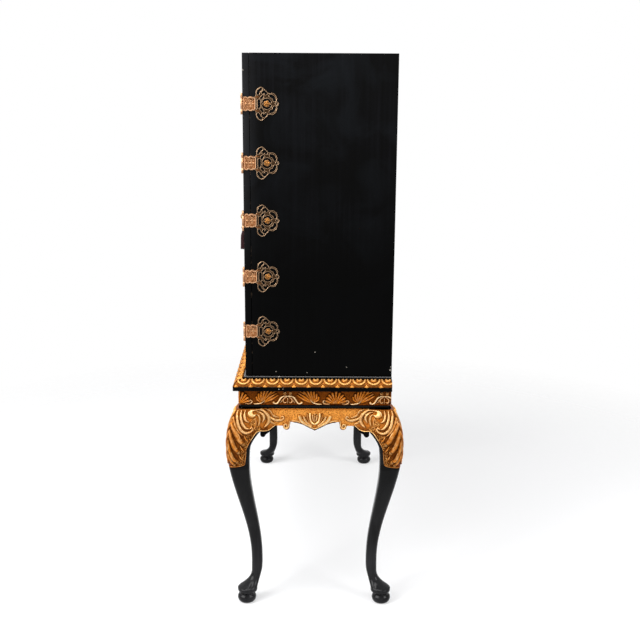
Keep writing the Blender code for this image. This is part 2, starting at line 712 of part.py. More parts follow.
def door_leaf_mesh(side):
    """Leaf across the door's front, with the middle knuckle."""
    end = DOOR_KNUCKLE_LENGTH / 2
    clear = KNUCKLE_RADIUS + 2 * FIT
    bore = PIN_RADIUS + RUNNING
    start = bore + FIT / 2
    root = [(start, 0.0), (start, end), (clear, end), (clear, NECK_HALF)]
    frame = Matrix((
        (-side, 0, 0, 0), (0, 0, -1, PIVOT_OFFSET - FIT), (0, 1, 0, 0), (0, 0, 0, 1)))
    plate = plate_mesh("hinge_door_leaf", leaf_outline(root)[:-1], leaf_holes(), PLATE, frame)
    tube = turned_mesh("hinge_tube", (
        (bore, -end), (KNUCKLE_RADIUS, -end), (KNUCKLE_RADIUS, end), (bore, end), (bore, -end)), 8)
    return combined(plate, [tube], "UNION")


def hinges(side_name, side, parent):
    case_leaf = case_leaf_mesh(side)
    door_leaf = door_leaf_mesh(side)
    pitch = (CASE_HEIGHT - HINGE_TOP_MARGIN - HINGE_FOOT_MARGIN) / (HINGE_COUNT - 1)
    for k in range(HINGE_COUNT):
        height = CASE_TOP - HINGE_TOP_MARGIN - pitch * k
        place = (side * PIVOT_X, PIVOT_Y, height)
        number = k + 1
        solid(f"hinge_{side_name}_{number}_case_leaf", case_leaf.copy(), "gilt_brass", place)
        solid(f"hinge_{side_name}_{number}_door_leaf", door_leaf.copy(), "gilt_brass", place, parent)


def lock_plate(name, side, parent):
    """Half of a round scalloped plate on the doors' meeting edges."""
    steps = 2 * LOCK_PLATE_LOBES
    outline = []
    for k in range(steps + 1):
        angle = -math.pi / 2 + math.pi * k / steps
        radius = LOCK_PLATE_RADIUS - LOCK_PLATE_SCALLOP * (k % 2)
        outline.append((side * max(radius * math.cos(angle), DOOR_GAP / 2), KEY_Z + radius * math.sin(angle)))
    holes = [keyhole(RUNNING)] if side > 0 else []
    mesh = plate_mesh(name, outline, holes, PLATE, upright_frame(DOOR_FRONT - FIT - PLATE))
    solid(name, moved(mesh, -parent.location), "gilt_brass", parent.location, parent)


# Lock, key and tassel on the right door

def lock_case(parent):
    """Tray on the back of the door, open towards it, with a slot for the bolt."""
    low = Vector((LOCK_EDGE, DOOR_BACK + FIT, KEY_Z - LOCK_HEIGHT / 2))
    high = low + Vector((LOCK_WIDTH, LOCK_DEPTH, LOCK_HEIGHT))
    tray = moved(box_mesh("lock_case", high - low), (low + high) / 2)
    wall = Vector((LOCK_WALL, LOCK_WALL, LOCK_WALL))
    inner_low = low + wall - Vector((0, 2 * LOCK_WALL, 0))
    inner_high = high - wall
    hollow = moved(box_mesh("lock_hollow", inner_high - inner_low), (inner_low + inner_high) / 2)
    slot_low, slot_high = lock_bolt_box()
    slot_low -= Vector((LOCK_WALL, RUNNING, RUNNING))
    slot_high = Vector((LOCK_EDGE + 2 * LOCK_WALL, slot_high.y + RUNNING, slot_high.z + RUNNING))
    slot = moved(box_mesh("lock_slot", slot_high - slot_low), (slot_low + slot_high) / 2)
    mesh = combined(tray, [hollow, slot], "DIFFERENCE")
    solid("lock_case", moved(mesh, -parent.location), "gilt_brass", parent.location, parent)


def lock_bolt_box():
    low = Vector((LOCK_EDGE, DOOR_BACK + 4 * FIT, KEY_Z - LOCK_BOLT_TOP - LOCK_BOLT_HEIGHT))
    return low, low + Vector((LOCK_BOLT_LENGTH, LOCK_BOLT_THICKNESS, LOCK_BOLT_HEIGHT))


def lock_bolt(parent):
    """Sliding bar with a notch that the key's bit works in."""
    low, high = lock_bolt_box()
    notch_low = high.z - TALON_DEPTH
    left, right = KEY_X - TALON_WIDTH / 2, KEY_X + TALON_WIDTH / 2
    edge = [(low.x, low.z), (high.x, low.z), (high.x, high.z), (right, high.z)]
    edge += [(right, notch_low), (left, notch_low), (left, high.z), (low.x, high.z)]
    mesh = plate_mesh("lock_bolt", edge, [], LOCK_BOLT_THICKNESS, upright_frame(low.y))
    solid("lock_bolt", moved(mesh, -parent.location), "steel", parent.location, parent)


def key(parent):
    """Shank through the door, ring bow outside and a bit in the bolt's notch."""
    along_y = Matrix.Rotation(math.pi / 2, 4, "X")
    front = -BOW_REACH + BOW_RADIUS - BOW_WIRE / 2
    tail = DOOR_THICKNESS + 4 * FIT + LOCK_BOLT_THICKNESS + RUNNING
    shank = cylinder_mesh("key", SHANK_RADIUS, tail - front, 12, along_y)
    moved(shank, (0, (tail + front) / 2, 0))
    bow = ring_mesh("bow", BOW_RADIUS, BOW_WIRE, 18, 6, Matrix.Rotation(math.pi / 2, 4, "Y"))
    moved(bow, (0, -BOW_REACH, 0))
    bit = box_mesh("bit", (BIT_THICKNESS, BIT_WIDTH - FIT, BIT_LENGTH))
    moved(bit, (0, tail - BIT_WIDTH / 2, -BIT_LENGTH / 2))
    collar = cylinder_mesh("collar", SHANK_RADIUS * 1.5, SHANK_RADIUS, 12, along_y)
    moved(collar, (0, front + 2 * SHANK_RADIUS, 0))
    solid("key", combined(shank, [bow, bit, collar], "UNION"), "gilt_brass", parent.matrix_world.translation,
          parent)


def tassel(parent):
    """Loop round the key's bow, cord, head and skirt, hung below the bow's lower edge."""
    loop_middle = BOW_WIRE + FIT - (TASSEL_LOOP - TASSEL_CORD)
    loop = ring_mesh("loop", TASSEL_LOOP, TASSEL_CORD, 14, 6, Matrix.Rotation(math.pi / 2, 4, "X"))
    moved(loop, (0, 0, loop_middle))
    top = loop_middle - TASSEL_LOOP
    head = top - TASSEL_NECK
    skirt = head - 2 * TASSEL_HEAD
    foot = skirt - TASSEL_SKIRT
    body = turned_mesh("tassel", (
        (1.6 * TASSEL_CORD, top), (1.6 * TASSEL_CORD, head), (0.72 * TASSEL_HEAD, head - 0.3 * TASSEL_HEAD),
        (TASSEL_HEAD, head - TASSEL_HEAD), (0.78 * TASSEL_HEAD, skirt + 0.3 * TASSEL_HEAD),
        (0.78 * TASSEL_HEAD, skirt), (0.82 * TASSEL_RADIUS, skirt - 0.12 * TASSEL_SKIRT),
        (0.92 * TASSEL_RADIUS, skirt - 0.5 * TASSEL_SKIRT), (TASSEL_RADIUS, foot)), 14)
    solid("tassel", combined(body, [loop], "UNION"), "silk", parent.matrix_world.translation, parent)


# Bolt on the left door

def rod_middle():
    top = CEILING - RUNNING
    return Vector((-ROD_X, DOOR_BACK + ROD_STANDOFF, top - ROD_LENGTH / 2))


def door_bolt(parent):
    """Rod with a thumb knob that slides up into the case's top."""
    rod = cylinder_mesh("door_bolt", ROD_RADIUS, ROD_LENGTH, 14)
    knob = cylinder_mesh(
        "knob", ROD_KNOB, 3 * ROD_KNOB, 12, Matrix.Rotation(math.pi / 2, 4, "X"))
    moved(knob, (0, 1.5 * ROD_KNOB + ROD_RADIUS * 0.5, 0))
    mesh = combined(rod, [knob], "UNION")
    place = rod_middle()
    solid("door_bolt", mesh, "gilt_brass", place, parent)


def door_bolt_guide(parent):
    """Base plate with two bored lugs, clear of the knob's travel."""
    middle = rod_middle()
    face = DOOR_BACK + FIT
    base_low = Vector((-GUIDE_WIDTH / 2, face, middle.z - GUIDE_LENGTH / 2))
    base_high = Vector((GUIDE_WIDTH / 2, face + GUIDE_BASE, middle.z + GUIDE_LENGTH / 2))
    base = moved(box_mesh("door_bolt_guide", base_high - base_low), (base_low + base_high) / 2)
    lug_size = Vector((GUIDE_LUG, ROD_STANDOFF + GUIDE_LUG / 2 - FIT, GUIDE_LUG))
    lugs = []
    for end in (-1, 1):
        lug = box_mesh("lug", lug_size)
        height = middle.z + end * (GUIDE_LENGTH - GUIDE_LUG - 2 * GUIDE_BASE) / 2
        lugs.append(moved(lug, (0, face + lug_size.y / 2, height)))
    joined = combined(base, lugs, "UNION")
    bore = cylinder_mesh("bore", ROD_RADIUS + RUNNING, 2 * GUIDE_LENGTH, 14)
    moved(bore, (0, middle.y, middle.z))
    mesh = moved(combined(joined, [bore], "DIFFERENCE"), (middle.x, 0, 0))
    solid("door_bolt_guide", moved(mesh, -parent.location), "gilt_brass", parent.location, parent)


def doors():
    right = axis_empty("door_right_axis", (PIVOT_X, PIVOT_Y, 0))
    left = axis_empty("door_left_axis", (-PIVOT_X, PIVOT_Y, 0))
    door("door_right", 1, right)
    door("door_left", -1, left)
    hinges("right", 1, right)
    hinges("left", -1, left)
    lock_plate("lock_plate_right", 1, right)
    lock_plate("lock_plate_left", -1, left)
    lock_case(right)
    lock_bolt(right)
    key_axis = axis_empty("key_axis", (KEY_X, DOOR_FRONT, KEY_Z), right)
    bow_edge = axis_empty("tassel_axis", (KEY_X, DOOR_FRONT - BOW_REACH, KEY_Z - BOW_RADIUS), key_axis)
    bpy.context.view_layer.update()
    key(key_axis)
    tassel(bow_edge)
    door_bolt(left)
    door_bolt_guide(left)


clear_scene()
stand()
case()
doors()
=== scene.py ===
import math

import bmesh
import bpy
import numpy as np
from mathutils import Matrix, Vector


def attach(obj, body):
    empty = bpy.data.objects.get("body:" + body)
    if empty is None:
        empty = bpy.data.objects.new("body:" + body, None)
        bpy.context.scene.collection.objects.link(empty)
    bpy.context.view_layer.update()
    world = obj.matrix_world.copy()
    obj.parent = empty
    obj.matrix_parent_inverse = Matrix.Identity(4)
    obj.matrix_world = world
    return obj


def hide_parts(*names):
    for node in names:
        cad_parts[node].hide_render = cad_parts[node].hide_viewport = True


# Cocktail cabinet on a carved stand: the finish of every surface, and the carving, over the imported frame.
# Metres, +Z up, doors towards -Y. Ornament is drawn in millimetres.

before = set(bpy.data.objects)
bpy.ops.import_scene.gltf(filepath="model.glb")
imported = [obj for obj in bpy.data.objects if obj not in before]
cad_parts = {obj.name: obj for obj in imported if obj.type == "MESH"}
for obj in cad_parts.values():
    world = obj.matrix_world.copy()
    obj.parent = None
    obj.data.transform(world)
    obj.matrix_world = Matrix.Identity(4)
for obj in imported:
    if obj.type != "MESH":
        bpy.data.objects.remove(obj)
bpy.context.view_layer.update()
mm = 0.001
print("frame:", len(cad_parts), "nodes")


# Shared helpers

def linear(hexCode):
    parts = [int(hexCode[k:k + 2], 16) / 255 for k in (1, 3, 5)]
    return (*[p / 12.92 if p <= 0.04045 else ((p + 0.055) / 1.055) ** 2.4 for p in parts], 1.0)


def addNode(tree, kind, settings={}, links={}):
    node = tree.nodes.new(kind)
    for name, value in settings.items():
        if isinstance(name, int) or name in node.inputs:
            node.inputs[name].default_value = value
        else:
            setattr(node, name, value)
    for name, source in links.items():
        tree.links.new(source, node.inputs[name])
    return node


# Short forms of the commonest nodes. A value is a socket to link or a number or colour to set.
def giveNode(tree, kind, settings, values):
    links = {key: value for key, value in values.items() if isinstance(value, bpy.types.NodeSocket)}
    plain = {key: value for key, value in values.items() if key not in links}
    return addNode(tree, kind, {**settings, **plain}, links)


def mathNode(tree, operation, *values):
    return giveNode(tree, "ShaderNodeMath", {"operation": operation}, dict(enumerate(values)))


def mixNode(tree, share, first, second):
    return giveNode(tree, "ShaderNodeMix", {"data_type": "RGBA"}, {0: share, 6: first, 7: second})


def noiseNode(tree, coords, size, detail):
    return addNode(tree, "ShaderNodeTexNoise", {"Scale": 1 / size, "Detail": detail}, {"Vector": coords})


def rangeNode(tree, source, given, wanted):
    return addNode(tree, "ShaderNodeMapRange", dict(enumerate((*given, *wanted), 1)), {0: source})


# Share of the rays by which a surface is seen, as against lit
def seenShare(tree):
    path = addNode(tree, "ShaderNodeLightPath").outputs
    first = mathNode(tree, "ADD", path["Is Camera Ray"], path["Is Glossy Ray"])
    both = mathNode(tree, "ADD", first.outputs[0], path["Is Transmission Ray"])
    both.use_clamp = True
    return both.outputs[0]


def ramp(tree, source, stops):
    node = addNode(tree, "ShaderNodeValToRGB", {}, {"Fac": source})
    marks = node.color_ramp.elements
    while len(marks) < len(stops):
        marks.new(0.5)
    for mark, (place, colour) in zip(marks, stops):
        mark.position = place
        mark.color = linear(colour) if isinstance(colour, str) else (colour, colour, colour, 1)
    return node.outputs["Color"]


def newMaterial(name, settings):
    material = bpy.data.materials.new(name)
    material.use_nodes = True
    tree = material.node_tree
    shader = tree.nodes["Principled BSDF"]
    for socket, value in settings.items():
        shader.inputs[socket].default_value = value
    coords = addNode(tree, "ShaderNodeTexCoord").outputs["Object"]
    return material, tree, shader, coords


def ease(share):
    share = np.clip(share, 0, 1)
    return share * share * (3 - 2 * share)


def linked(name, data):
    thing = bpy.data.objects.new(name, data)
    bpy.context.scene.collection.objects.link(thing)
    return thing


def makePiece(name, mesh, body, material, nodes=()):
    piece = linked(name, mesh)
    mesh.materials.clear()
    mesh.materials.append(material)
    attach(piece, body)
    if nodes:
        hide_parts(*nodes)
    return piece


def meshFrom(name, points, faces, marks=None):
    mesh = bpy.data.meshes.new(name)
    mesh.from_pydata(np.asarray(points).reshape(-1, 3).tolist(), [], [list(f) for f in faces])
    mesh.shade_smooth()
    if marks is not None:
        layer = mesh.attributes.new("carving", "FLOAT_COLOR", "POINT")
        layer.data.foreach_set("color", np.asarray(marks, np.float32).ravel())
    return mesh


def gridFaces(rows, columns, closed=False, flip=False):
    number = np.arange(rows * columns).reshape(rows, columns)
    if closed:
        number = np.concatenate([number, number[:, :1]], 1)
    quads = np.stack([number[:-1, :-1], number[:-1, 1:], number[1:, 1:], number[1:, :-1]], -1).reshape(-1, 4)
    return (quads[:, ::-1] if flip else quads).tolist()


def mend(mesh, distance=0.0, fill=False, outward=False):
    bm = bmesh.new()
    bm.from_mesh(mesh)
    if distance:
        bmesh.ops.remove_doubles(bm, verts=bm.verts, dist=distance)
    if fill:
        bmesh.ops.holes_fill(bm, edges=bm.edges)
    if outward:
        bmesh.ops.recalc_face_normals(bm, faces=bm.faces)
    bm.to_mesh(mesh)
    bm.free()


def evaluated(piece):
    graph = bpy.context.evaluated_depsgraph_get()
    mesh = bpy.data.meshes.new_from_object(piece.evaluated_get(graph))
    bpy.data.objects.remove(piece, do_unlink=True)
    return mesh


# A copy of a board's mesh with its sharp edges eased, and a mark for the worn edge.
def easedBoard(node, width, smooth=30):
    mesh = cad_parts[node].data.copy()
    bm = bmesh.new()
    bm.from_mesh(mesh)
    bmesh.ops.remove_doubles(bm, verts=bm.verts, dist=1e-5)
    bmesh.ops.dissolve_limit(bm, angle_limit=math.radians(2), verts=bm.verts, edges=bm.edges)
    sharp = [e for e in bm.edges if len(e.link_faces) == 2 and e.calc_face_angle() > math.radians(smooth)]
    bmesh.ops.bevel(bm, geom=sharp, offset=width, segments=3, profile=0.6, affect="EDGES", clamp_overlap=True)
    bm.to_mesh(mesh)
    bm.free()
    mesh.shade_smooth()
    mesh.set_sharp_from_angle(angle=math.radians(smooth))
    normals = np.zeros(len(mesh.vertices) * 3, np.float32)
    mesh.vertices.foreach_get("normal", normals)
    worn = (np.abs(normals.reshape(-1, 3)).max(1) < 0.93).astype(np.float32)
    layer = mesh.attributes.new("edge", "FLOAT", "POINT")
    layer.data.foreach_set("value", worn)
    return mesh


# Finishes

# Chips in the lacquer that show the pale ground: place and radius in mm
chips = (((0.555, -0.1963, 1.5551), 2.4), ((0.555, -0.0004, 0.7787), 2.2), ((0.555, 0.0902, 0.7346), 2.2),
         ((0.555, -0.1120, 0.7204), 2.2), ((0.555, -0.0231, 0.7179), 1.6), ((0.555, 0.2150, 0.7270), 3.6),
         ((0.555, 0.2165, 0.7360), 2.6), ((0.560, -0.1040, 0.7062), 2.2), ((0.560, -0.1010, 0.7082), 2.2),
         ((0.590, -0.1023, 0.6785), 2.2), ((0.590, -0.0905, 0.6790), 1.8))


# Black lacquer rubbed to a soft gloss on wood: near black, lighter or darker with height as painted light and
# shade (heights and shares), long faint streaks from the rubbing, bluish smears where it was wiped, brown wood where
# the edges have worn through, a few pale chips, and a painted sheen along the sides' front corners.
def blackLacquer(name, tones, gloss, mirrorShare, shadeByHeight=((0.02, 1.0), (0.14, 1.0)), chipped=(), paintedSheen=None):
    material, tree, shader, coords = newMaterial(
        name, {"Roughness": gloss, "IOR": 1.5, "Specular IOR Level": mirrorShare})
    long = addNode(tree, "ShaderNodeMapping", {"Scale": (1 / 0.009, 1 / 0.009, 1 / 0.35)}, {"Vector": coords})
    streak = noiseNode(tree, long.outputs[0], 1.0, 3.0)
    cloud = noiseNode(tree, coords, 0.22, 2.0)
    both = mathNode(tree, "MULTIPLY", streak.outputs[0], cloud.outputs[0])
    tone = ramp(tree, both.outputs[0], [(0.16, tones[0]), (0.28, tones[1]), (0.42, tones[2])])
    wiped = addNode(tree, "ShaderNodeTexNoise", {"Scale": 1 / 0.17, "Detail": 4.0, "Distortion": 1.2},
                    {"Vector": coords})
    smear = ramp(tree, wiped.outputs[0], [(0.46, 0.0), (0.74, 0.9)])
    tone = mixNode(tree, smear, tone, linear(tones[3])).outputs[2]
    place = addNode(tree, "ShaderNodeSeparateXYZ", {}, {0: coords})
    # Painted light and shade: the colour is scaled by a factor that runs with height between the two given heights
    shadedByHeight = rangeNode(tree, place.outputs[2], (shadeByHeight[0][0], shadeByHeight[1][0]), (shadeByHeight[0][1], shadeByHeight[1][1]))
    shaded = addNode(tree, "ShaderNodeMix", {"data_type": "RGBA", "blend_type": "MULTIPLY", 0: 1.0},
                     {6: tone, 7: shadedByHeight.outputs[0]})
    # Painted sheen: a pale tone added along the sides' front corner, fading back from the front and away from its
    # height
    if paintedSheen:
        out = mathNode(tree, "ABSOLUTE", place.outputs[0])
        onSide = rangeNode(tree, out.outputs[0], (paintedSheen["x"] - 0.0010, paintedSheen["x"] - 0.0003), (0.0, 1.0))
        level = mathNode(tree, "SUBTRACT", place.outputs[2], paintedSheen["z"])
        level = mathNode(tree, "ABSOLUTE", level.outputs[0])
        level = rangeNode(tree, level.outputs[0], (0.0, paintedSheen["rise"]), (1.0, 0.08))
        near = rangeNode(tree, place.outputs[1], (paintedSheen["y"], paintedSheen["y"] + paintedSheen["reach"]), (1.0, 0.0))
        near = mathNode(tree, "POWER", near.outputs[0], 3.0)
        sheenShare = mathNode(tree, "MULTIPLY", near.outputs[0], level.outputs[0])
        sheenShare = mathNode(tree, "MULTIPLY", sheenShare.outputs[0], onSide.outputs[0])
        shaded = addNode(tree, "ShaderNodeMix", {"data_type": "RGBA", "blend_type": "ADD", 7: linear(paintedSheen["tone"])},
                         {0: sheenShare.outputs[0], 6: shaded.outputs[2]})
    edge = addNode(tree, "ShaderNodeAttribute", {"attribute_name": "edge"}).outputs["Fac"]
    nibble = noiseNode(tree, coords, 0.014, 4.0)
    worn = mathNode(tree, "MULTIPLY", edge, nibble.outputs[0])
    share = ramp(tree, worn.outputs[0], [(0.54, 0.0), (0.68, 0.7)])
    colour = mixNode(tree, share, shaded.outputs[2], linear("#5C4C3E"))
    ragged = noiseNode(tree, coords, 0.003, 1.0)
    for spot, radius in chipped:
        far = addNode(tree, "ShaderNodeVectorMath", {"operation": "DISTANCE", 1: spot}, {0: coords})
        rough = addNode(tree, "ShaderNodeMath", {"operation": "MULTIPLY_ADD", 1: radius * mm},
                        {0: ragged.outputs[0], 2: far.outputs["Value"]})
        bare = rangeNode(tree, rough.outputs[0], (radius * mm, 1.25 * radius * mm), (0.8, 0.0))
        colour = mixNode(tree, bare.outputs[0], colour.outputs[2], linear("#A7A196"))
    tree.links.new(colour.outputs[2], shader.inputs["Base Color"])
    dull = ramp(tree, both.outputs[0], [(0.15, gloss * 0.8), (0.45, gloss * 1.5)])
    tree.links.new(dull, shader.inputs["Roughness"])
    return material


# Gold leaf on red-brown bole over carved wood: pale along the crests as a painted highlight, amber down their sides
# as painted shade, brown glaze left in the cuts and darkened further there as painted shade, and a punched ground. The
# carving attribute carries the nearness to a ridge's crest, its brightness and the depth of the cuts.
def gilding(name, look):
    material, tree, shader, coords = newMaterial(
        name, {"Metallic": look["metal"], "Roughness": 0.4, "Specular IOR Level": 0.2,
               "Specular Tint": linear("#C9853A")})
    attribute = addNode(tree, "ShaderNodeAttribute", {"attribute_name": "carving"})
    parts = addNode(tree, "ShaderNodeSeparateColor", {}, {0: attribute.outputs["Color"]})
    height, shine, cut = parts.outputs[0], parts.outputs[1], parts.outputs[2]
    punch = addNode(
        tree, "ShaderNodeTexVoronoi", {"Scale": 1 / look["punch"], "Randomness": 0.8}, {"Vector": coords})
    dots = ramp(tree, punch.outputs["Distance"], [(0.2, 0.8), (0.46, 0.0)])
    wear = noiseNode(tree, coords, 0.018, 5.0)
    mottle = noiseNode(tree, coords, 0.008, 3.0)
    swing = rangeNode(tree, mottle.outputs[0], (0.3, 0.7), (-0.16, 0.16))
    tone = addNode(tree, "ShaderNodeMath", {"operation": "ADD", "use_clamp": True}, {0: shine, 1: swing.outputs[0]})
    flat = ramp(tree, tone.outputs[0], [(0.0, look["deep"]), (0.5, look["ground"]), (1.0, look["bright"])])
    ground = mixNode(tree, dots, flat, linear(look["punched"]))
    # Painted shade and highlight across each ridge: darker at its foot, lighter up its sides and palest at its crest
    dull = ramp(tree, height, [(0.08, look["shadedFlank"]), (0.45, look["amber"]), (0.95, look["gold"])])
    pale = ramp(tree, height, [(0.04, look["side"]), (0.40, look["leaf"]), (0.80, look["crest"])])
    leaf = mixNode(tree, tone.outputs[0], dull, pale)
    raised = ramp(tree, height, [(0.0, 0.0), (0.06, 1.0)])
    surface = mixNode(tree, raised, ground.outputs[2], leaf.outputs[2])
    patches = ramp(tree, wear.outputs[0], [(0.5, 0.0), (0.75, look["worn"])])
    aged = mixNode(tree, patches, surface.outputs[2], linear(look["bole"]))
    # Glaze in the cuts, darkened further as painted shade in the recesses and creases
    glazeAndShade = ramp(tree, cut, [(0.08, 0.0), (0.8, look["glazeAndShade"])])
    finished = mixNode(tree, glazeAndShade, aged.outputs[2], linear(look["recess"]))
    tree.links.new(finished.outputs[2], shader.inputs["Base Color"])
    rough = ramp(tree, wear.outputs[0], [(0.3, 0.24), (0.75, 0.48)])
    tree.links.new(rough, shader.inputs["Roughness"])
    pits = mathNode(tree, "SUBTRACT", raised, dots)
    bump = addNode(tree, "ShaderNodeBump", {"Strength": 0.5, "Distance": 0.0006}, {"Height": pits.outputs[0]})
    tool = noiseNode(tree, coords, 0.004, 2.0)
    carved = addNode(tree, "ShaderNodeBump", {"Strength": 0.35, "Distance": 0.0005},
                     {"Height": tool.outputs[0], "Normal": bump.outputs[0]})
    tree.links.new(carved.outputs[0], shader.inputs["Normal"])
    return material


# Gilded brass, cast and filed, gone brown: grey-tan along the raised rims, coppery on the worked neck and
# mustard on the bud. The carving attribute carries the share of a rim, of the neck and of the bud.
def tarnishedBrass(name, look):
    material, tree, shader, coords = newMaterial(name, {"Metallic": 0.8, "Roughness": 0.36})
    attribute = addNode(tree, "ShaderNodeAttribute", {"attribute_name": "carving"})
    rim, neck, bud = addNode(tree, "ShaderNodeSeparateColor", {}, {0: attribute.outputs["Color"]}).outputs
    plain = ramp(tree, rim, [(0.0, look["plate"]), (1.0, look["rim"])])
    worked = ramp(tree, rim, [(0.0, look["neck"]), (1.0, look["neckRim"])])
    base = mixNode(tree, neck, plain, worked)
    both = mixNode(tree, bud, base.outputs[2], linear(look["bud"]))
    tarnish = noiseNode(tree, coords, 0.007, 4.0)
    share = ramp(tree, tarnish.outputs[0], [(0.45, 0.0), (0.72, 0.6)])
    colour = mixNode(tree, share, both.outputs[2], linear(look["tarnish"]))
    tree.links.new(colour.outputs[2], shader.inputs["Base Color"])
    rough = ramp(tree, tarnish.outputs[0], [(0.3, 0.26), (0.75, 0.5)])
    tree.links.new(rough, shader.inputs["Roughness"])
    scratch = noiseNode(tree, coords, 0.0012, 2.0)
    bump = addNode(
        tree, "ShaderNodeBump", {"Strength": 0.25, "Distance": 0.0001}, {"Height": scratch.outputs[0]})
    tree.links.new(bump.outputs[0], shader.inputs["Normal"])
    return material


# Mahogany, planed and polished: red-brown, darker grain lines along the board, a soft sheen.
def mahogany():
    material, tree, shader, coords = newMaterial("polished_mahogany", {"Roughness": 0.3, "IOR": 1.5})
    along = addNode(tree, "ShaderNodeMapping", {"Scale": (1 / 0.3, 1 / 0.012, 1 / 0.012)}, {"Vector": coords})
    grain = addNode(tree, "ShaderNodeTexNoise", {"Scale": 1.0, "Detail": 6.0, "Distortion": 0.6},
                    {"Vector": along.outputs[0]})
    tone = ramp(tree, grain.outputs[0], [(0.3, "#3A160C"), (0.52, "#5F2B17"), (0.7, "#7A3C22")])
    tree.links.new(tone, shader.inputs["Base Color"])
    bump = addNode(tree, "ShaderNodeBump", {"Strength": 0.15, "Distance": 0.0002}, {"Height": grain.outputs[0]})
    tree.links.new(bump.outputs[0], shader.inputs["Normal"])
    return material


# Silvered plate glass: a clear reflection, faintly foxed.
def silveredGlass():
    material, tree, shader, coords = newMaterial("silvered_glass", {"Metallic": 1.0, "Roughness": 0.03})
    fox = noiseNode(tree, coords, 0.05, 6.0)
    tone = ramp(tree, fox.outputs[0], [(0.60, "#E6EAEA"), (0.85, "#CFD0C8")])
    tree.links.new(tone, shader.inputs["Base Color"])
    rough = ramp(tree, fox.outputs[0], [(0.6, 0.02), (0.85, 0.06)])
    tree.links.new(rough, shader.inputs["Roughness"])
    return material


# Polished plate glass: clear, greenish, with a few smears that dull the reflection.
def plateGlass():
    material, tree, shader, coords = newMaterial(
        "plate_glass", {"Base Color": linear("#E4F1EC"), "Transmission Weight": 1.0, "IOR": 1.52})
    smear = noiseNode(tree, coords, 0.08, 4.0)
    rough = ramp(tree, smear.outputs[0], [(0.45, 0.01), (0.8, 0.09)])
    tree.links.new(rough, shader.inputs["Roughness"])
    return material


# Silk floss, twisted and cut: dark plum, a soft sheen along the threads, paler where the light rakes them.
def silkFloss():
    material, tree, shader, coords = newMaterial(
        "silk_floss", {"Roughness": 0.6, "Specular IOR Level": 0.12, "Sheen Weight": 0.06, "Sheen Roughness": 0.4})
    thread = addNode(tree, "ShaderNodeMapping", {"Scale": (1 / 0.0012, 1 / 0.0012, 1 / 0.03)}, {"Vector": coords})
    fleck = noiseNode(tree, thread.outputs[0], 1.0, 2.0)
    tone = ramp(tree, fleck.outputs[0], [(0.3, "#1C0E10"), (0.6, "#351A1D"), (0.8, "#543033")])
    tree.links.new(tone, shader.inputs["Base Color"])
    return material


# Filed steel: grey, with straight file marks.
def filedSteel():
    material, tree, shader, coords = newMaterial("filed_steel", {"Metallic": 1.0, "Roughness": 0.35})
    lines = addNode(tree, "ShaderNodeMapping", {"Scale": (1 / 0.0004, 1 / 0.02, 1 / 0.02)}, {"Vector": coords})
    mark = noiseNode(tree, lines.outputs[0], 1.0, 2.0)
    tone = ramp(tree, mark.outputs[0], [(0.3, "#8A8680"), (0.7, "#B4B0A8")])
    tree.links.new(tone, shader.inputs["Base Color"])
    return material


# The case boards are painted darker towards the floor (painted shade) and get a painted sheen along the sides' front
# corners
lacquer = blackLacquer("black_lacquer", ("#080808", "#0A0A0B", "#0F0F11", "#15171A"), 0.22, 0.04,
                       ((0.95, 0.06), (1.60, 1.0)), chips,
                       {"x": 0.555, "y": -0.200, "reach": 0.070, "z": 1.40, "rise": 0.42, "tone": "#252526"})
# The legs are painted lighter towards the feet and a little darker above: painted light and shade
legLacquer = blackLacquer("black_lacquer_legs", ("#060606", "#09090A", "#101011", "#141415"), 0.13, 0.10,
                          ((0.12, 2.4), (0.42, 0.7)))
beadLacquer = blackLacquer("black_lacquer_bead", ("#080808", "#0C0C0D", "#171718", "#141415"), 0.20, 0.45,
                           chipped=chips)
apronGilding = gilding("burnished_gilding", {
    "metal": 0.3, "punch": 0.0040, "deep": "#522607", "ground": "#B86C26", "bright": "#E89A44", "punched": "#74390C",
    "shadedFlank": "#522606", "amber": "#8E4C12", "gold": "#C07423", "side": "#B06A22", "leaf": "#E4A24A", "crest": "#FFE0A6",
    "worn": 0.4, "bole": "#8A4412",
    "glazeAndShade": 0.92, "recess": "#2E1204"})
friezeGilding = gilding("aged_gilding", {
    "metal": 0.3, "punch": 0.0040, "deep": "#5A2C07", "ground": "#84420F", "bright": "#8A4E18", "punched": "#381705",
    "shadedFlank": "#4E2305", "amber": "#A85A10", "gold": "#CE7A22", "side": "#7A4010", "leaf": "#D08A38", "crest": "#FFE2B2",
    "worn": 0.4, "bole": "#6A330C",
    "glazeAndShade": 0.92, "recess": "#220D03"})
mouldingGilding = gilding("polished_gilding", {
    "metal": 0.3, "punch": 0.0040, "deep": "#4A260C", "ground": "#8E5420", "bright": "#D0AC98", "punched": "#4A260C",
    "shadedFlank": "#7A4010", "amber": "#B46E22", "gold": "#D09040", "side": "#965416", "leaf": "#D09040", "crest": "#F0C484",
    "worn": 0.4, "bole": "#803F10",
    "glazeAndShade": 0.95, "recess": "#2A1104"})
brass = tarnishedBrass("tarnished_gilt_brass", {
    "plate": "#35230F", "rim": "#8E745A", "neck": "#94592C", "neckRim": "#F0B98C", "bud": "#8A5A26",
    "tarnish": "#4A3018"})
lockBrass = tarnishedBrass("polished_brass", {
    "plate": "#A67C44", "rim": "#CBA062", "neck": "#A67C44", "neckRim": "#CBA062", "bud": "#C99A5A",
    "tarnish": "#6E4E28"})
steel = filedSteel()
wood = mahogany()
mirrorGlass = silveredGlass()
shelfGlass = plateGlass()
silk = silkFloss()
print("finishes ready")


# Carving: ridges drawn as smooth lines with a half width along them, on a flat (along, up) sheet

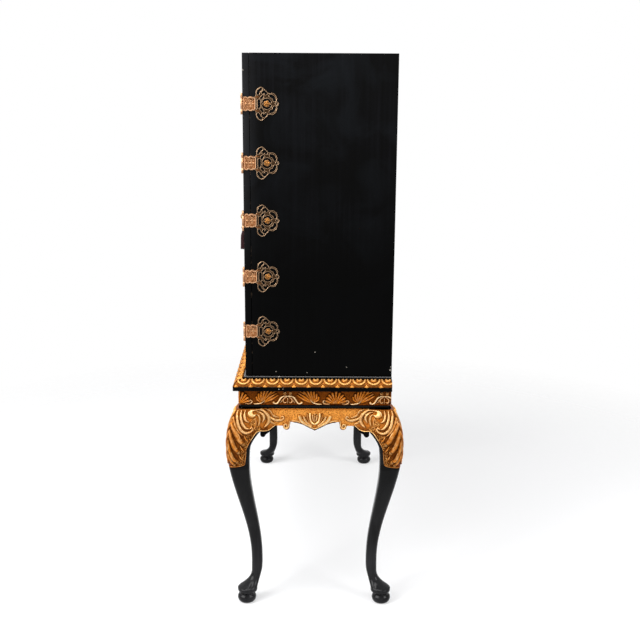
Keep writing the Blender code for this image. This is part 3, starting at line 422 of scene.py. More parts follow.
def smoothLine(points, steps=8):
    p = np.asarray(points, float)
    if len(p) < 3:
        return np.linspace(p[0], p[-1], steps)
    p = np.concatenate([[2 * p[0] - p[1]], p, [2 * p[-1] - p[-2]]])
    line = []
    for k in range(1, len(p) - 2):
        for t in np.arange(steps) / steps:
            line.append(0.5 * (2 * p[k] + (p[k + 1] - p[k - 1]) * t
                               + (2 * p[k - 1] - 5 * p[k] + 4 * p[k + 1] - p[k + 2]) * t ** 2
                               + (3 * p[k] - p[k - 1] - 3 * p[k + 1] + p[k + 2]) * t ** 3))
    return np.array(line + [p[-2]])


def spiral(centre, radii, degrees, steps=16):
    share = np.linspace(0, 1, steps)
    radius = radii[0] + (radii[1] - radii[0]) * share
    turn = np.radians(degrees[0] + (degrees[1] - degrees[0]) * share)
    return np.stack([centre[0] + radius * np.cos(turn), centre[1] + radius * np.sin(turn)], 1)


deepness = 1.45


def ridge(points, widths, rise, shine=0.55):
    line = smoothLine(points)
    widths = np.interp(np.linspace(0, 1, len(line)), np.linspace(0, 1, len(widths)), widths)
    return line * mm, widths * mm, rise * deepness * mm, shine


def knob(place, radius, rise, shine=0.8):
    return ridge([place, (place[0] + 0.05, place[1])], (radius, radius), rise, shine)


def mirrored(ridges, about=0.0):
    flip = np.array((-1.0, 1.0))
    return [(line * flip + (2 * about * mm, 0), width, rise, shine) for line, width, rise, shine in ridges]


def shifted(ridges, along, stretch=1.0):
    return [(line * (stretch, 1) + (along, 0), width, rise, shine) for line, width, rise, shine in ridges]


# A line on a ridge, to one side of its crest by a share of its width
def beside(body, lean, wide, rise, shine):
    path, widths = body[0], body[1]
    along = np.gradient(path, axis=0)
    along /= np.maximum(np.linalg.norm(along, axis=1, keepdims=True), 1e-12)
    across = np.stack([-along[:, 1], along[:, 0]], 1)
    return path + across * widths[:, None] * lean, widths / widths.max() * wide * mm, rise * deepness * mm, shine


# A broad ridge with a finer pale one along its crest, or to one side of it; the pale one's colour is a painted
# highlight
def lobe(points, widths, rise, shine=0.3, lean=0.0, line=1.2, pale=0.95):
    body = ridge(points, widths, rise, shine)
    return [body, beside(body, lean, line, rise + 0.3, pale)]


# A strand with a pale line along each of its edges; the lines are raised and their pale colour is a painted highlight
def strand(points, widths, rise, shine=0.4, line=1.1):
    body = ridge(points, widths, rise, shine)
    return [body, beside(body, 0.55, line, rise + 0.3, 1.0), beside(body, -0.5, 0.9 * line, rise + 0.2, 0.9)]


# Height of the carving, and its marks: nearness to a ridge's crest, brightness, depth of the cuts.
# A ridge of negative rise is an engraved line.
def carve(ridges, along, up, ground=0.45, cutDepth=0.7 * mm):
    height = np.zeros_like(along)
    shine = np.broadcast_to(np.asarray(ground, float), along.shape).copy()
    outside = np.full_like(along, 1.0)
    ceiling = np.full_like(along, 2 * mm)
    engraved, second, crest = (np.zeros_like(along) for _ in range(3))
    for line, width, rise, bright in ridges:
        reach = width.max() + 2 * mm
        low, high = line.min(0) - reach, line.max(0) + reach
        near = np.nonzero((along > low[0]) & (along < high[0]) & (up > low[1]) & (up < high[1]))
        if not len(near[0]):
            continue
        spot = np.stack([along[near], up[near]], 1)
        step = line[1:] - line[:-1]
        away = spot[:, None] - line[None, :-1]
        t = np.clip((away * step).sum(2) / np.maximum((step ** 2).sum(1), 1e-14), 0, 1)
        gap = np.linalg.norm(away - step * t[..., None], axis=2)
        wide = width[:-1] + (width[1:] - width[:-1]) * t
        nearest = np.argmin(gap / wide, 1)
        row = np.arange(len(spot))
        gap, wide = gap[row, nearest], wide[row, nearest]
        share = np.clip(gap / wide, 0, 1)
        if rise < 0:
            engraved[near] = np.maximum(engraved[near], -rise * (1 - share ** 2))
            continue
        size = np.minimum(1.0, wide / (1.2 * mm))
        dome = rise * size * (1 - share ** 2) ** 0.6
        higher = dome > height[near]
        second[near] = np.maximum(second[near], np.minimum(dome, height[near]))
        height[near] = np.where(higher, dome, height[near])
        shine[near] = np.where(higher, bright, shine[near])
        crest[near] = np.where(higher, 1 - share, crest[near])
        ceiling[near] = np.where(higher, rise * size, ceiling[near])
        outside[near] = np.minimum(outside[near], gap - wide)
    share = np.clip(height / np.maximum(ceiling, 1e-9), 0, 1)
    # The cut mark also darkens the foot of each ridge and the creases where ridges meet: partly glaze, partly painted
    # shade
    cut = np.clip(1 - share / 0.45, 0, 1) * np.clip(1 - outside / (1.6 * mm), 0, 1)
    crease = np.clip(1 - (height - second) / (0.45 * ceiling), 0, 1) * np.clip(second / (0.3 * ceiling), 0, 1)
    cut = np.maximum(cut, 0.85 * crease) * (1 - 0.5 * shine)
    cut = np.maximum(cut, np.clip(engraved / (0.6 * mm), 0, 1))
    marks = np.stack([crest, shine, cut, np.ones_like(cut)], -1)
    return height - cutDepth * cut - engraved, marks


# The stand's cabriole line, the same as the frame's: out from the frieze's faces
shape = {
    "friezeX": 0.573, "friezeY": 0.2165, "legTop": 0.615, "kneeHeight": 0.490, "kneeWidth": 0.0675,
    "kneeOffset": 0.004, "shoulderOut": 0.010, "bracketHeight": 0.550, "bracketReach": 0.106,
    "bracketCorner": 0.015, "postInner": 0.061, "ankleHeight": 0.132, "ankleWidth": 0.0330, "ankleInset": 0.044,
    "toeTop": 0.100, "padHeight": 0.046, "padInset": 0.016, "padRadius": 0.0295, "neckRadius": 0.0205,
    "bunHeight": 0.026, "bunRadius": 0.0278, "bunInset": 0.0139, "apronSetback": 0.001, "apronThickness": 0.020}
# The carved faces stop just short of the waist bead
carvedTop = shape["legTop"] - 0.0004
corners = [(side, end, f"leg_{endName}_{sideName}")
           for endName, end in (("front", -1), ("back", 1)) for sideName, side in (("left", -1), ("right", 1))]


def kneeOut(z):
    turn = shape["kneeHeight"] + (shape["legTop"] - shape["kneeHeight"]) * 0.12
    share = np.clip((z - turn) / (shape["legTop"] - turn), 0, 1)
    full = shape["kneeOffset"] + shape["kneeWidth"] / 2
    return shape["shoulderOut"] + (full - shape["shoulderOut"]) * (1 - share ** 2.5)


def kneeIn(z):
    share = np.clip((z - shape["kneeHeight"]) / (shape["bracketHeight"] - shape["kneeHeight"]), 0, 1)
    near = shape["kneeOffset"] - shape["kneeWidth"] / 2
    return near + (-shape["postInner"] - near) * share ** 2


def swellFade(offset):
    return ease((offset + shape["bracketReach"]) / (shape["bracketReach"] - shape["bracketCorner"]))


# Middle, half width and squareness of the leg's section at a height
def legSection(z):
    shin = np.clip((z - shape["ankleHeight"]) / (shape["kneeHeight"] - shape["ankleHeight"]), -0.1, 1)
    middle = -shape["ankleInset"] + (shape["kneeOffset"] + shape["ankleInset"]) * ease(shin)
    half = (shape["ankleWidth"] + (shape["kneeWidth"] - shape["ankleWidth"]) * np.clip(shin, 0, 1) ** 1.7) / 2
    outerPower = innerPower = 2.4 + 1.4 * np.clip(shin, 0, 1)
    foot = min((shape["toeTop"] - z) / (shape["toeTop"] - shape["padHeight"]), 1.0)
    if z < shape["toeTop"]:
        outer = -shape["ankleInset"] + shape["ankleWidth"] / 2
        inner = -shape["ankleInset"] - shape["ankleWidth"] / 2
        outer += (shape["padRadius"] - shape["padInset"] - outer) * foot ** 3.4
        inner += (-shape["padRadius"] - shape["padInset"] - inner) * foot ** 1.2
        middle, half = (outer + inner) / 2, (outer - inner) / 2
        outerPower = innerPower = 2.3 - 0.3 * foot
    if z > shape["kneeHeight"]:
        share = (z - shape["kneeHeight"]) / (shape["legTop"] - shape["kneeHeight"])
        outer, inner = kneeOut(z), kneeIn(z)
        middle, half = (outer + inner) / 2, (outer - inner) / 2
        outerPower, innerPower = 3.8 + 2.2 * share, 3.8 + 50 * share
    return middle, half, outerPower, innerPower


def legRing(middle, half, outerPower, innerPower, turns, sidePower=0):
    c, s = np.cos(turns), np.sin(turns)
    power = np.where(c + s < 0, innerPower, outerPower)
    power = np.where(c * s < 0, np.maximum(power, sidePower), power)
    reach = (np.abs(c) ** power + np.abs(s) ** power) ** (-1 / power)
    x, y = middle + half * reach * c, middle + half * reach * s
    return np.where(x > 0, x * swellFade(y), x), np.where(y > 0, y * swellFade(x), y)


# Ornament of a knee and of the apron beside it: distance in from the frieze's corner, height above the floor
def kneeRidges():
    ridges = []
    # Leaf down the outer corner: broad fluted lobes that end in round tips
    lobes = (
        (((-31, 602), (-22, 579), (-16, 564), (-6, 546.5), (2.5, 530), (13, 519.5)), (2.0, 4.8, 7.0, 8.2, 8.0, 6.4)),
        (((-32, 574), (-25.5, 547), (-20, 527), (-12.5, 508.5), (-1.5, 494.5)), (2.0, 5.4, 7.4, 7.6, 5.8)),
        (((-33, 540), (-29, 511.5), (-24.6, 490), (-17, 473.5), (-6.5, 464.5)), (2.0, 5.2, 7.0, 6.8, 5.2)),
        (((-33, 500), (-29, 482), (-23.5, 466), (-14, 456)), (2.0, 4.4, 5.2, 4.2)))
    for line, widths in lobes:
        body = ridge(line, widths, 3.6, 0.10)
        ridges.append(body)
        # Pale lines along each lobe, the brightest to one side: painted highlights
        for lean, wide, rise, shine in ((0.62, 0.9, 3.9, 0.95), (0.05, 0.7, 4.2, 0.35), (-0.45, 0.7, 4.0, 0.25)):
            ridges.append(beside(body, lean, wide, rise, shine))
        ridges.append(knob(line[-1], widths[-1] + 0.8, 4.2, 0.35))
    ridges += lobe([(-18, 604), (-14.5, 586), (-8, 569), (1, 555), (11, 545.5)], (1.6, 3.6, 4.2, 3.8, 1.6), 2.8, 0.15,
                   0.3, 1.0, 0.6)
    ridges += lobe([(-27, 610), (-24, 598), (-18, 580)], (1.6, 3.4, 1.6), 2.6, 0.2, 0.2, 1.0, 0.4)
    ridges.append(ridge([(-32, 610), (-32, 540), (-32, 452)], (1.6, 2.4, 1.2), 3.4, 0.45))
    # Small leaf tips between the lobes and the inner edge
    for line in (((15, 545), (20, 534), (27, 527)), ((4, 514), (9, 504), (14, 498)), ((0, 486), (4, 477), (9, 472))):
        ridges.append(ridge(line, (1.6, 3.2, 1.4), 2.0, 0.1))
    # Scroll: strands that wrap its left side, the outermost ending in a curl, and a full eye
    ridges += strand([(-3, 614), (-5.6, 601), (-4, 584), (1, 568.5), (11, 556), (22.7, 552), (34, 555.5), (39, 562),
                      (35.5, 567),
                      (31.5, 563.5)], (1.6, 4.2, 5.0, 5.0, 5.0, 4.4, 3.6, 3.0, 2.6, 1.8), 3.6)
    ridges += strand([(7, 614), (5.2, 596), (9.2, 579.5), (18.4, 567.5), (28, 563.6)], (1.6, 4.4, 5.0, 4.4, 1.4), 3.4)
    ridges += strand([(18, 614), (15.6, 599), (18.6, 588), (28, 582)], (1.6, 4.2, 4.6, 1.4), 3.2)
    ridges.append(ridge([(47, 600.5), (41, 598), (35, 600.5), (32.5, 604), (35, 609.5)], (2.0, 5.0, 8.2, 8.6, 5.0),
                        4.2, 0.7))
    # A pale line over the eye's upper left: a painted highlight
    ridges.append(ridge([(25.6, 600), (28, 607.5), (35, 612), (43.2, 612.2)], (1.0, 2.2, 2.6, 1.6), 4.8, 1.0))
    ridges.append(ridge([(31, 597), (37, 599), (43, 597.5)], (0.8, 1.4, 0.8), 5.0, 0.9))
    # Leaf of long strands on its right side
    ridges += strand([(43, 612.4), (59, 614), (71.5, 608), (81.5, 595.5), (84.6, 582.5), (80, 569.5), (72, 563)],
                     (1.6, 3.0, 4.6, 6.0, 6.4, 5.4, 1.8), 3.6)
    ridges += strand([(51, 608.5), (60, 605.5), (68.6, 597), (70.6, 586.5), (66.5, 577)], (1.4, 3.0, 4.6, 5.0, 1.6),
                     3.4)
    ridges += lobe([(51, 602), (57.5, 594.5), (59, 583), (56, 570)], (1.4, 3.4, 4.0, 1.6), 2.6, 0.45, 0.1, 1.2, 0.8)
    ridges += lobe([(46, 592), (49, 582), (47.5, 570), (43, 560)], (1.2, 2.8, 3.0, 1.4), 2.2, 0.2, 0.1, 1.0, 0.6)
    ridges += lobe([(76, 614), (87, 609), (94, 600)], (1.2, 3.0, 1.4), 2.2, 0.4, 0.1, 1.0, 0.7)
    # Small scroll and leaf on the apron, and the scroll that hangs from its edge
    ridges += strand([(86, 592), (96, 583.5), (108, 579), (119, 580), (126.5, 585), (125, 591.5), (119, 590)],
                     (1.4, 4.4, 5.4, 4.6, 3.6, 3.0, 2.0), 3.0, 0.45, 1.1)
    ridges += lobe([(91, 602), (99, 593), (112, 588.5)], (1.2, 4.2, 1.6), 2.6, 0.4, 0.2, 1.2)
    ridges += lobe([(86, 583), (92, 573.5), (103, 568.5)], (1.2, 4.0, 1.4), 2.4, 0.4, 0.2, 1.1, 0.7)
    ridges += lobe([(144, 577), (142.5, 565), (138, 556.5), (131, 555), (127.3, 561), (130.5, 567.5), (136, 566),
                    (135.5, 561)], (1.8, 2.8, 3.4, 3.8, 3.8, 3.2, 2.6, 2.2), 3.6, 0.75, 0.1, 1.9)
    # Bead along the lower edge, bright only below the scroll
    ridges.append(ridge([(16.4, 454), (19, 483), (23.6, 511), (34, 529.8)], (1.0, 1.1, 1.2, 1.3), 1.4, 0.15))
    ridges.append(ridge([(34, 529.8), (46.4, 547), (53, 552), (61, 552.6), (71.5, 550.2),
                         (80, 550.5), (88, 553.2), (94, 558), (100.5, 563.6)], (1.2, 1.4, 1.4), 1.8, 0.8))
    # Border above the hem
    ridges.append(ridge([(-34, 447), (-10, 449.5), (6, 452), (17, 456)], (1.0, 1.1, 1.1, 1.0), 1.2, 0.15))
    # Ground punched with small grains: beside the leaf, and in the scroll's hollow
    chance = np.random.default_rng(7)
    leafSide = ((456, 465, 496, 521, 545), (-4, 3, 8, 22, 16), (13, 14, 18, 25, 40))
    hollow = ((557, 568, 580, 592), (40, 34, 32, 46), (64, 55, 50, 52))
    for (heights, near, far), pale in ((leafSide, 0.25), (hollow, 0.5)):
        for z in np.arange(heights[0], heights[-1], 3.4):
            for d in np.arange(np.interp(z, heights, near), np.interp(z, heights, far), 3.6):
                place = (d + chance.uniform(-1, 1), z + chance.uniform(-1, 1))
                ridges.append(knob(place, chance.uniform(1.2, 1.9), chance.uniform(0.8, 1.4),
                                   pale * chance.uniform(0.1, 2.0)))
    return ridges


# Brightness of the ground: dark behind the leaf, warmer in the scroll's hollow, bright on the flat of the apron, and
# darker along the top edge as painted shade under the waist bead
def groundTone(inward, z):
    apron = ease((inward - 0.078) / 0.030)
    hollow = ease((inward - 0.030) / 0.015) * ease((z - 0.548) / 0.02)
    scroll = ease((inward + 0.012) / 0.012) * ease((z - 0.552) / 0.02)
    # Painted shade along the top edge, under the waist bead
    shade = ease((z - 0.605) / 0.010)
    return 0.02 + (0.38 * scroll + 0.12 * hollow + 0.42 * apron) * (1 - 0.4 * shade)


# Shell in the middle of an apron, drawn about the middle
def shellRidges(stretch=1.0):
    half = []
    half += lobe([(10, 560), (26, 567.5), (38, 577), (44, 590)], (2.0, 4.6, 7.0, 6.6), 3.2, 0.6, 0.3, 1.8)
    half += lobe([(8, 562), (20, 571), (28, 580), (31.5, 590)], (1.6, 3.4, 4.4, 3.4), 2.8, 0.5, 0.2, 1.4, 0.9)
    half += lobe([(6, 564), (15, 574), (20, 585), (22, 598)], (1.4, 2.8, 3.6, 2.4), 2.4, 0.15, 0.2, 1.0, 0.4)
    half.append(ridge([(14, 600), (13.6, 588), (10.5, 576.5), (4.5, 570), (0, 568.6)], (3.8, 3.4, 3.4, 3.4, 3.2), 3.6,
                      1.0))
    half.append(ridge([(3.6, 577), (5.6, 586), (6.2, 596)], (1.6, 2.6, 2.0), 2.6, 0.6))
    half.append(ridge([(0, 553.5), (14, 558.8), (34, 569), (50, 576.2), (66, 578.5)], (1.6, 1.6, 1.6, 1.5, 1.2), 1.8,
                      0.9))
    middle = [ridge([(0, 575), (0, 592)], (1.4, 2.0), 2.4, 0.5), knob((0, 599), 3.0, 3.0, 0.95)]
    return shifted(half + mirrored(half) + middle, 0, stretch)


# Running leaf scroll that fills the long aprons between the shell and the hanging scroll: a waved stem with a curl in
# each bend and a leaf at each parting
def runningRidges(start, stop, count):
    pitch, middle = (stop - start) / count, 594
    stem = [(start + pitch * k / 6, middle + 10.5 * math.sin(math.pi * k / 6)) for k in range(6 * count + 1)]
    ridges = lobe(stem, (1.2, 2.2, 2.2, 2.2, 1.2), 2.6, 0.5, 0.0, 1.0, 0.9)
    for k in range(count):
        a, way = start + (k + 0.5) * pitch, 1 if k % 2 == 0 else -1
        ridges += lobe(spiral((a, middle - 1.5 * way), (8.0, 2.2), (165 * way, -290 * way), 12),
                       (1.2, 2.0, 2.4, 2.4, 2.4), 2.8, 0.6, 0.0, 1.2, 1.0)
        ridges.append(knob((a, middle - 1.5 * way), 2.6, 3.0, 0.9))
        for reach, rise in ((0.12, 6.0), (0.22, 10.5)):
            ridges += lobe([(a - 0.48 * pitch, middle - 1.0 * way),
                            (a - (0.48 - 0.4 * reach) * pitch, middle - 0.7 * rise * way),
                            (a - (0.5 - 1.2 * reach) * pitch, middle - rise * way)], (1.2, 2.6,
                                                                                      1.4), 2.2, 0.4, 0.1, 0.8, 0.6)
    return ridges


# Frieze: a scrolled cartouche and a fan shell by turns, with leaves between; heights above the floor
def cartoucheRidges():
    half = []
    half.append(ridge([(40, 632), (34, 630.5), (29, 632.5), (24, 640), (18, 649), (10, 652.5), (0, 653)],
                      (3.2, 2.8, 2.8, 3.2, 3.2, 2.6, 2.2), 3.2, 1.0))
    half.append(knob((40, 633.4), 4.2, 3.0, 1.0))
    half.append(ridge([(3, 650), (10, 646), (13, 639), (9, 633), (4, 635)], (1.4, 2.2, 2.4, 2.2, 1.4), 2.6, 0.55))
    half.append(ridge([(22, 632), (17, 637), (16, 643)], (1.0, 1.6, 0.8), 1.6, 0.6))
    for turn in range(0, 360, 60):
        x, y = 8 + 3.4 * math.cos(math.radians(turn)), 660.5 + 3.4 * math.sin(math.radians(turn))
        half.append(knob((x, y), 1.9, 1.9, 0.8))
    half.append(knob((8, 660.5), 1.7, 2.4, 0.95))
    return half + mirrored(half) + [ridge([(0, 630), (0, 646)], (1.0, 1.8), 1.8, 0.7)]


def fanRidges():
    ridges = []
    ribs = 9
    for k in range(ribs):
        turn = math.radians(-72 + 144 * k / (ribs - 1))
        reach = 36 - 6 * abs(turn)
        tip = (reach * math.sin(turn), 629.5 + reach * math.cos(turn))
        ridges += lobe([(2 * math.sin(turn), 631), (tip[0] * 0.55, 629.5 + (tip[1] - 629.5) * 0.55), tip],
                       (1.1, 3.1, 4.6), 3.4, 0.04, 0.3, 0.9, 0.25)
    curl = lobe([(18, 630.5), (26, 629.5), (34, 631.5), (36.5, 637), (31.5, 640), (29, 635.5)],
                (1.4, 2.2, 2.6, 2.6, 2.2, 1.6), 2.8, 0.5, 0.1, 1.2)
    return ridges + curl + mirrored(curl)


# Leaf to the right of a cartouche: long ribs down from its shoulder, a fan of lobes and a pale stem
def leafRidges():
    ridges = []
    for shift in (0, 7.5, 15):
        ridges += lobe([(27 + shift * 0.6, 655 + shift * 0.75), (46 + shift * 0.7, 643 + shift * 0.7), (70, 632.5)],
                       (1.8, 4.2, 2.0), 2.4, 0.04, 0.3, 0.7, 0.2)
    for tip, bend in (((47, 666), (56, 654)), ((57, 667.5), (63, 654)), ((66, 667.5), (69.5, 653)),
                      ((75, 665), (76, 651)), ((83, 658.5), (82, 647)), ((89, 649), (86.5, 641))):
        ridges += lobe([(74, 634), bend, tip], (1.5, 3.7, 4.2), 3.4, 0.04, 0.3, 0.9, 0.25)
    ridges.append(ridge([(66, 641), (74, 633), (86, 629.6), (97, 629.4)], (1.4, 2.6, 2.4, 1.4), 3.0, 1.0))
    return ridges


kneeDesign = kneeRidges()
print("ornament drawn:", len(kneeDesign), "ridges on a knee")


# Legs: carved gilt knees over black shins and feet

legLook = {"hem": 0.446, "hemRise": 0.010, "sink": 0.0030, "giltColumns": 156, "giltRows": 160, "sides": 96,
           "trimHeights": (0.450, 0.475, 0.500, 0.520, 0.535, 0.5465, 0.5500, 0.5514),
           "trim": (0.0100, 0.0092, 0.0090, 0.0084, 0.0086, 0.0098, 0.0082, 0.0), "wall": 0.0075, "cover": 0.0045}


# The gilt front of a leg runs flat towards its inner edge above the hem, and stops short of it to leave a black border
def giltRing(z, turns):
    middle, half, outerPower, innerPower = legSection(z)
    flat = outerPower + (40 - outerPower) * ease((z - legLook["hem"]) / 0.07)
    c, s = np.cos(turns), np.sin(turns)
    power = np.where((c > 0) & (s > 0), outerPower, flat)
    reach = (np.abs(c) ** power + np.abs(s) ** power) ** (-1 / power)
    trimmed = half - np.interp(z, legLook["trimHeights"], legLook["trim"])
    x, y = (middle + np.where(part < 0, trimmed, half) * reach * part for part in (c, s))
    return np.where(x > 0, x * swellFade(y), x), np.where(y > 0, y * swellFade(x), y)


def kneeMeshes(side, end, name):
    turns = np.radians(np.linspace(-45, 135, legLook["giltColumns"]))
    share = np.linspace(0, 1, legLook["giltRows"])
    x, y, z = (np.zeros((legLook["giltRows"], legLook["giltColumns"])) for _ in range(3))
    hemX, hemY = giltRing(legLook["hem"], turns)
    inward = np.clip(-np.minimum(hemX, hemY), -0.03, 0.02)
    hem = legLook["hem"] + legLook["hemRise"] * ((inward + 0.03) / 0.05) ** 2
    for row, part in enumerate(share):
        heights = hem + (carvedTop - hem) * part
        level = float(heights.mean())
        x[row], y[row] = giltRing(level, turns)
        z[row] = level if part > 0.25 else heights
        if part <= 0.25:
            for k, height in enumerate(heights):
                rx, ry = giltRing(float(height), turns[k:k + 1])
                x[row, k], y[row, k] = rx[0], ry[0]
    blendRows = np.clip((share - 0.25) / 0.2, 0, 1)[:, None]
    flat = hem[None] + (carvedTop - hem[None]) * share[:, None]
    z = np.where(share[:, None] > 0.25, flat * (1 - blendRows) + z * blendRows, z)
    inward = -np.minimum(x, y)
    relief, marks = carve(kneeDesign, inward, z, groundTone(inward, z))
    base = np.stack([x, y, z], -1)
    normal = np.cross(np.gradient(base, axis=1), np.gradient(base, axis=0))
    normal /= np.maximum(np.linalg.norm(normal, axis=2, keepdims=True), 1e-12)
    edge = np.minimum(np.minimum(share, 1 - share)[:, None] * 30, 1.0)
    across = np.linspace(0, 1, legLook["giltColumns"])
    edge = edge * np.minimum(np.minimum(across, 1 - across)[None] * 50, 1.0)
    base = base + normal * ((relief - legLook["sink"]) * edge)[..., None]
    # Walls back to the black wood at the sides and hem, and a top that runs in under the waist bead
    wall = legLook["wall"]
    base = np.concatenate([base[:, :1] - (wall, 0, 0), base, base[:, -1:] - (0, wall, 0)], 1)
    hemWall = base[:1] - np.stack([wall * np.clip(base[:1, :, 0] * 60, 0, 1),
                                   wall * np.clip(base[:1, :, 1] * 60, 0, 1),
                                   np.zeros_like(base[:1, :, 0])], -1)
    cover = np.concatenate([np.minimum(base[-1:, :, :2], -legLook["cover"]), base[-1:, :, 2:]], 2)
    base = np.concatenate([hemWall, base, cover])
    marks = np.pad(marks, ((1, 1), (1, 1), (0, 0)), "edge")
    marks[-2:] = (0.0, 0.3, 0.3, 1)
    place = np.stack([side * (shape["friezeX"] + base[..., 0]), end * (shape["friezeY"] + base[..., 1]),
                      base[..., 2]], -1)
    faces = gridFaces(*base.shape[:2], flip=side * end < 0)
    return meshFrom(name, place, faces, marks.reshape(-1, 4))


# The section averaged over a short height, so that the ankle runs on without a crease
def softSection(z):
    share = float(ease((z - 0.085) / 0.02) * (1 - ease((z - 0.21) / 0.05)))
    plain = np.array(legSection(z))
    soft = sum(w * np.array(legSection(z + step)) for step, w in ((-0.02, 1), (-0.01, 2), (0, 3), (0.01, 2),
                                                                  (0.02, 1))) / 9
    return plain + (soft - plain) * share


def shinMesh(side, end, name):
    turns = np.linspace(0, math.tau, legLook["sides"], endpoint=False)
    bun, pad = shape["bunHeight"], shape["padHeight"]
    rings = []
    for high, wide in ((0, 0.0), (0, 0.56), (0.03, 0.66), (0.12, 0.82), (0.3, 0.94), (0.55, 1.0), (0.76, 0.97),
                       (0.9, 0.89)):
        rings.append((bun * high, -shape["bunInset"], shape["bunRadius"] * wide, 2.0, 2.0))
    under = bun + (pad - bun) * 0.45
    rings.append((bun * 0.97, -shape["bunInset"], shape["neckRadius"] * 1.04, 2.0, 2.0))
    rings.append((bun * 1.06, -shape["bunInset"], shape["neckRadius"], 2.0, 2.0))
    for rise, wide in ((-0.0020, 0.86), (-0.0006, 0.95), (0.0020, 0.995), (0.0050, 1.0)):
        rings.append((under + rise, -shape["padInset"], shape["padRadius"] * wide, 2.0, 2.0))
    for z in np.concatenate([np.linspace(pad - 0.0015, 0.13, 36), np.linspace(0.136, 0.6146, 74)]):
        rings.append((z, *softSection(float(z))))
    points = []
    for z, middle, half, outerPower, innerPower in rings:
        x, y = legRing(middle, half, outerPower, innerPower, turns,
                       12 * float(ease((z - legLook["hem"] + 0.12) / 0.16)))
        back = 0.0065 * float(ease((z - legLook["hem"] + 0.003) / 0.008))
        x, y = x - back * ease((np.cos(turns) + 0.2) / 0.6), y - back * ease((np.sin(turns) + 0.2) / 0.6)
        points.append(np.stack([side * (shape["friezeX"] + x), end * (shape["friezeY"] + y), np.full_like(x, z)], 1))
    faces = gridFaces(len(rings), legLook["sides"], closed=True, flip=side * end < 0)
    top = np.arange(legLook["sides"]) + (len(rings) - 1) * legLook["sides"]
    faces.append((top[::-1] if side * end < 0 else top).tolist())
    mesh = meshFrom(name, np.array(points), faces)
    mend(mesh, 1e-6)
    return mesh


for side, end, node in corners:
    makePiece(node + "_knee", kneeMeshes(side, end, node + "_knee"), "cabinet", apronGilding, [node])
    makePiece(node + "_shin", shinMesh(side, end, node + "_shin"), "cabinet", legLacquer)
print("legs carved")


# Aprons: a carved gilt face on a black board, with a shaped lower edge

apronLook = {"column": 0.0011, "rows": 64, "sink": 0.0028, "lip": 0.0066, "boardBack": 0.0062, "border": 0.0030,
             "earPlaces": (0.061, 0.072, 0.078, 0.084, 0.095, 0.102, 0.109), "ear": (0.0122, 0.0118, 0.0100, 0.0078,
                                                                                     0.0056, 0.0036, 0.0)}
apronEdge = {"depth": 41, "centreDrop": 66, "scroll": 135, "scrollRadius": 9.5, "scrollDrop": 65.5}
runs = (("front", 0.573, 0.2165, 190, 0.0), ("right", 0.2165, 0.573, 52, math.pi / 2),
        ("back", 0.573, 0.2165, 190, math.pi), ("left", 0.2165, 0.573, 52, -math.pi / 2))


# Depth of the gilt face below the legs' top, at places along it
def apronDepth(along, half, centreHalf):
    a, h = np.abs(along) / mm, half / mm
    e = apronEdge
    place = [0, 0.05 * centreHalf, 0.3 * centreHalf, 0.65 * centreHalf, centreHalf, 1.3 * centreHalf]
    drop = [e["centreDrop"], e["centreDrop"] - 2.5, 57.5, 47.5, e["depth"] + 0.6, e["depth"]]
    scroll = h - e["scroll"]
    place += [scroll - e["scrollRadius"] - 0.6]
    drop += [e["depth"]]
    for turn in (178, 165, 145, 120, 90, 60, 35, 15, 2):
        place.append(scroll + e["scrollRadius"] * math.cos(math.radians(turn)))
        drop.append(e["scrollDrop"] - e["scrollRadius"] * (1 - math.sin(math.radians(turn))))
    place += [scroll + e["scrollRadius"] + 0.8, h - 107, h - 101, h - 95, h - 88, h - 80, h - 70, h - 61]
    drop += [53, 52.6, 52.8, 57.6, 62.8, 65.8, 66.2, 63.8]
    return np.interp(a, place, drop) * mm


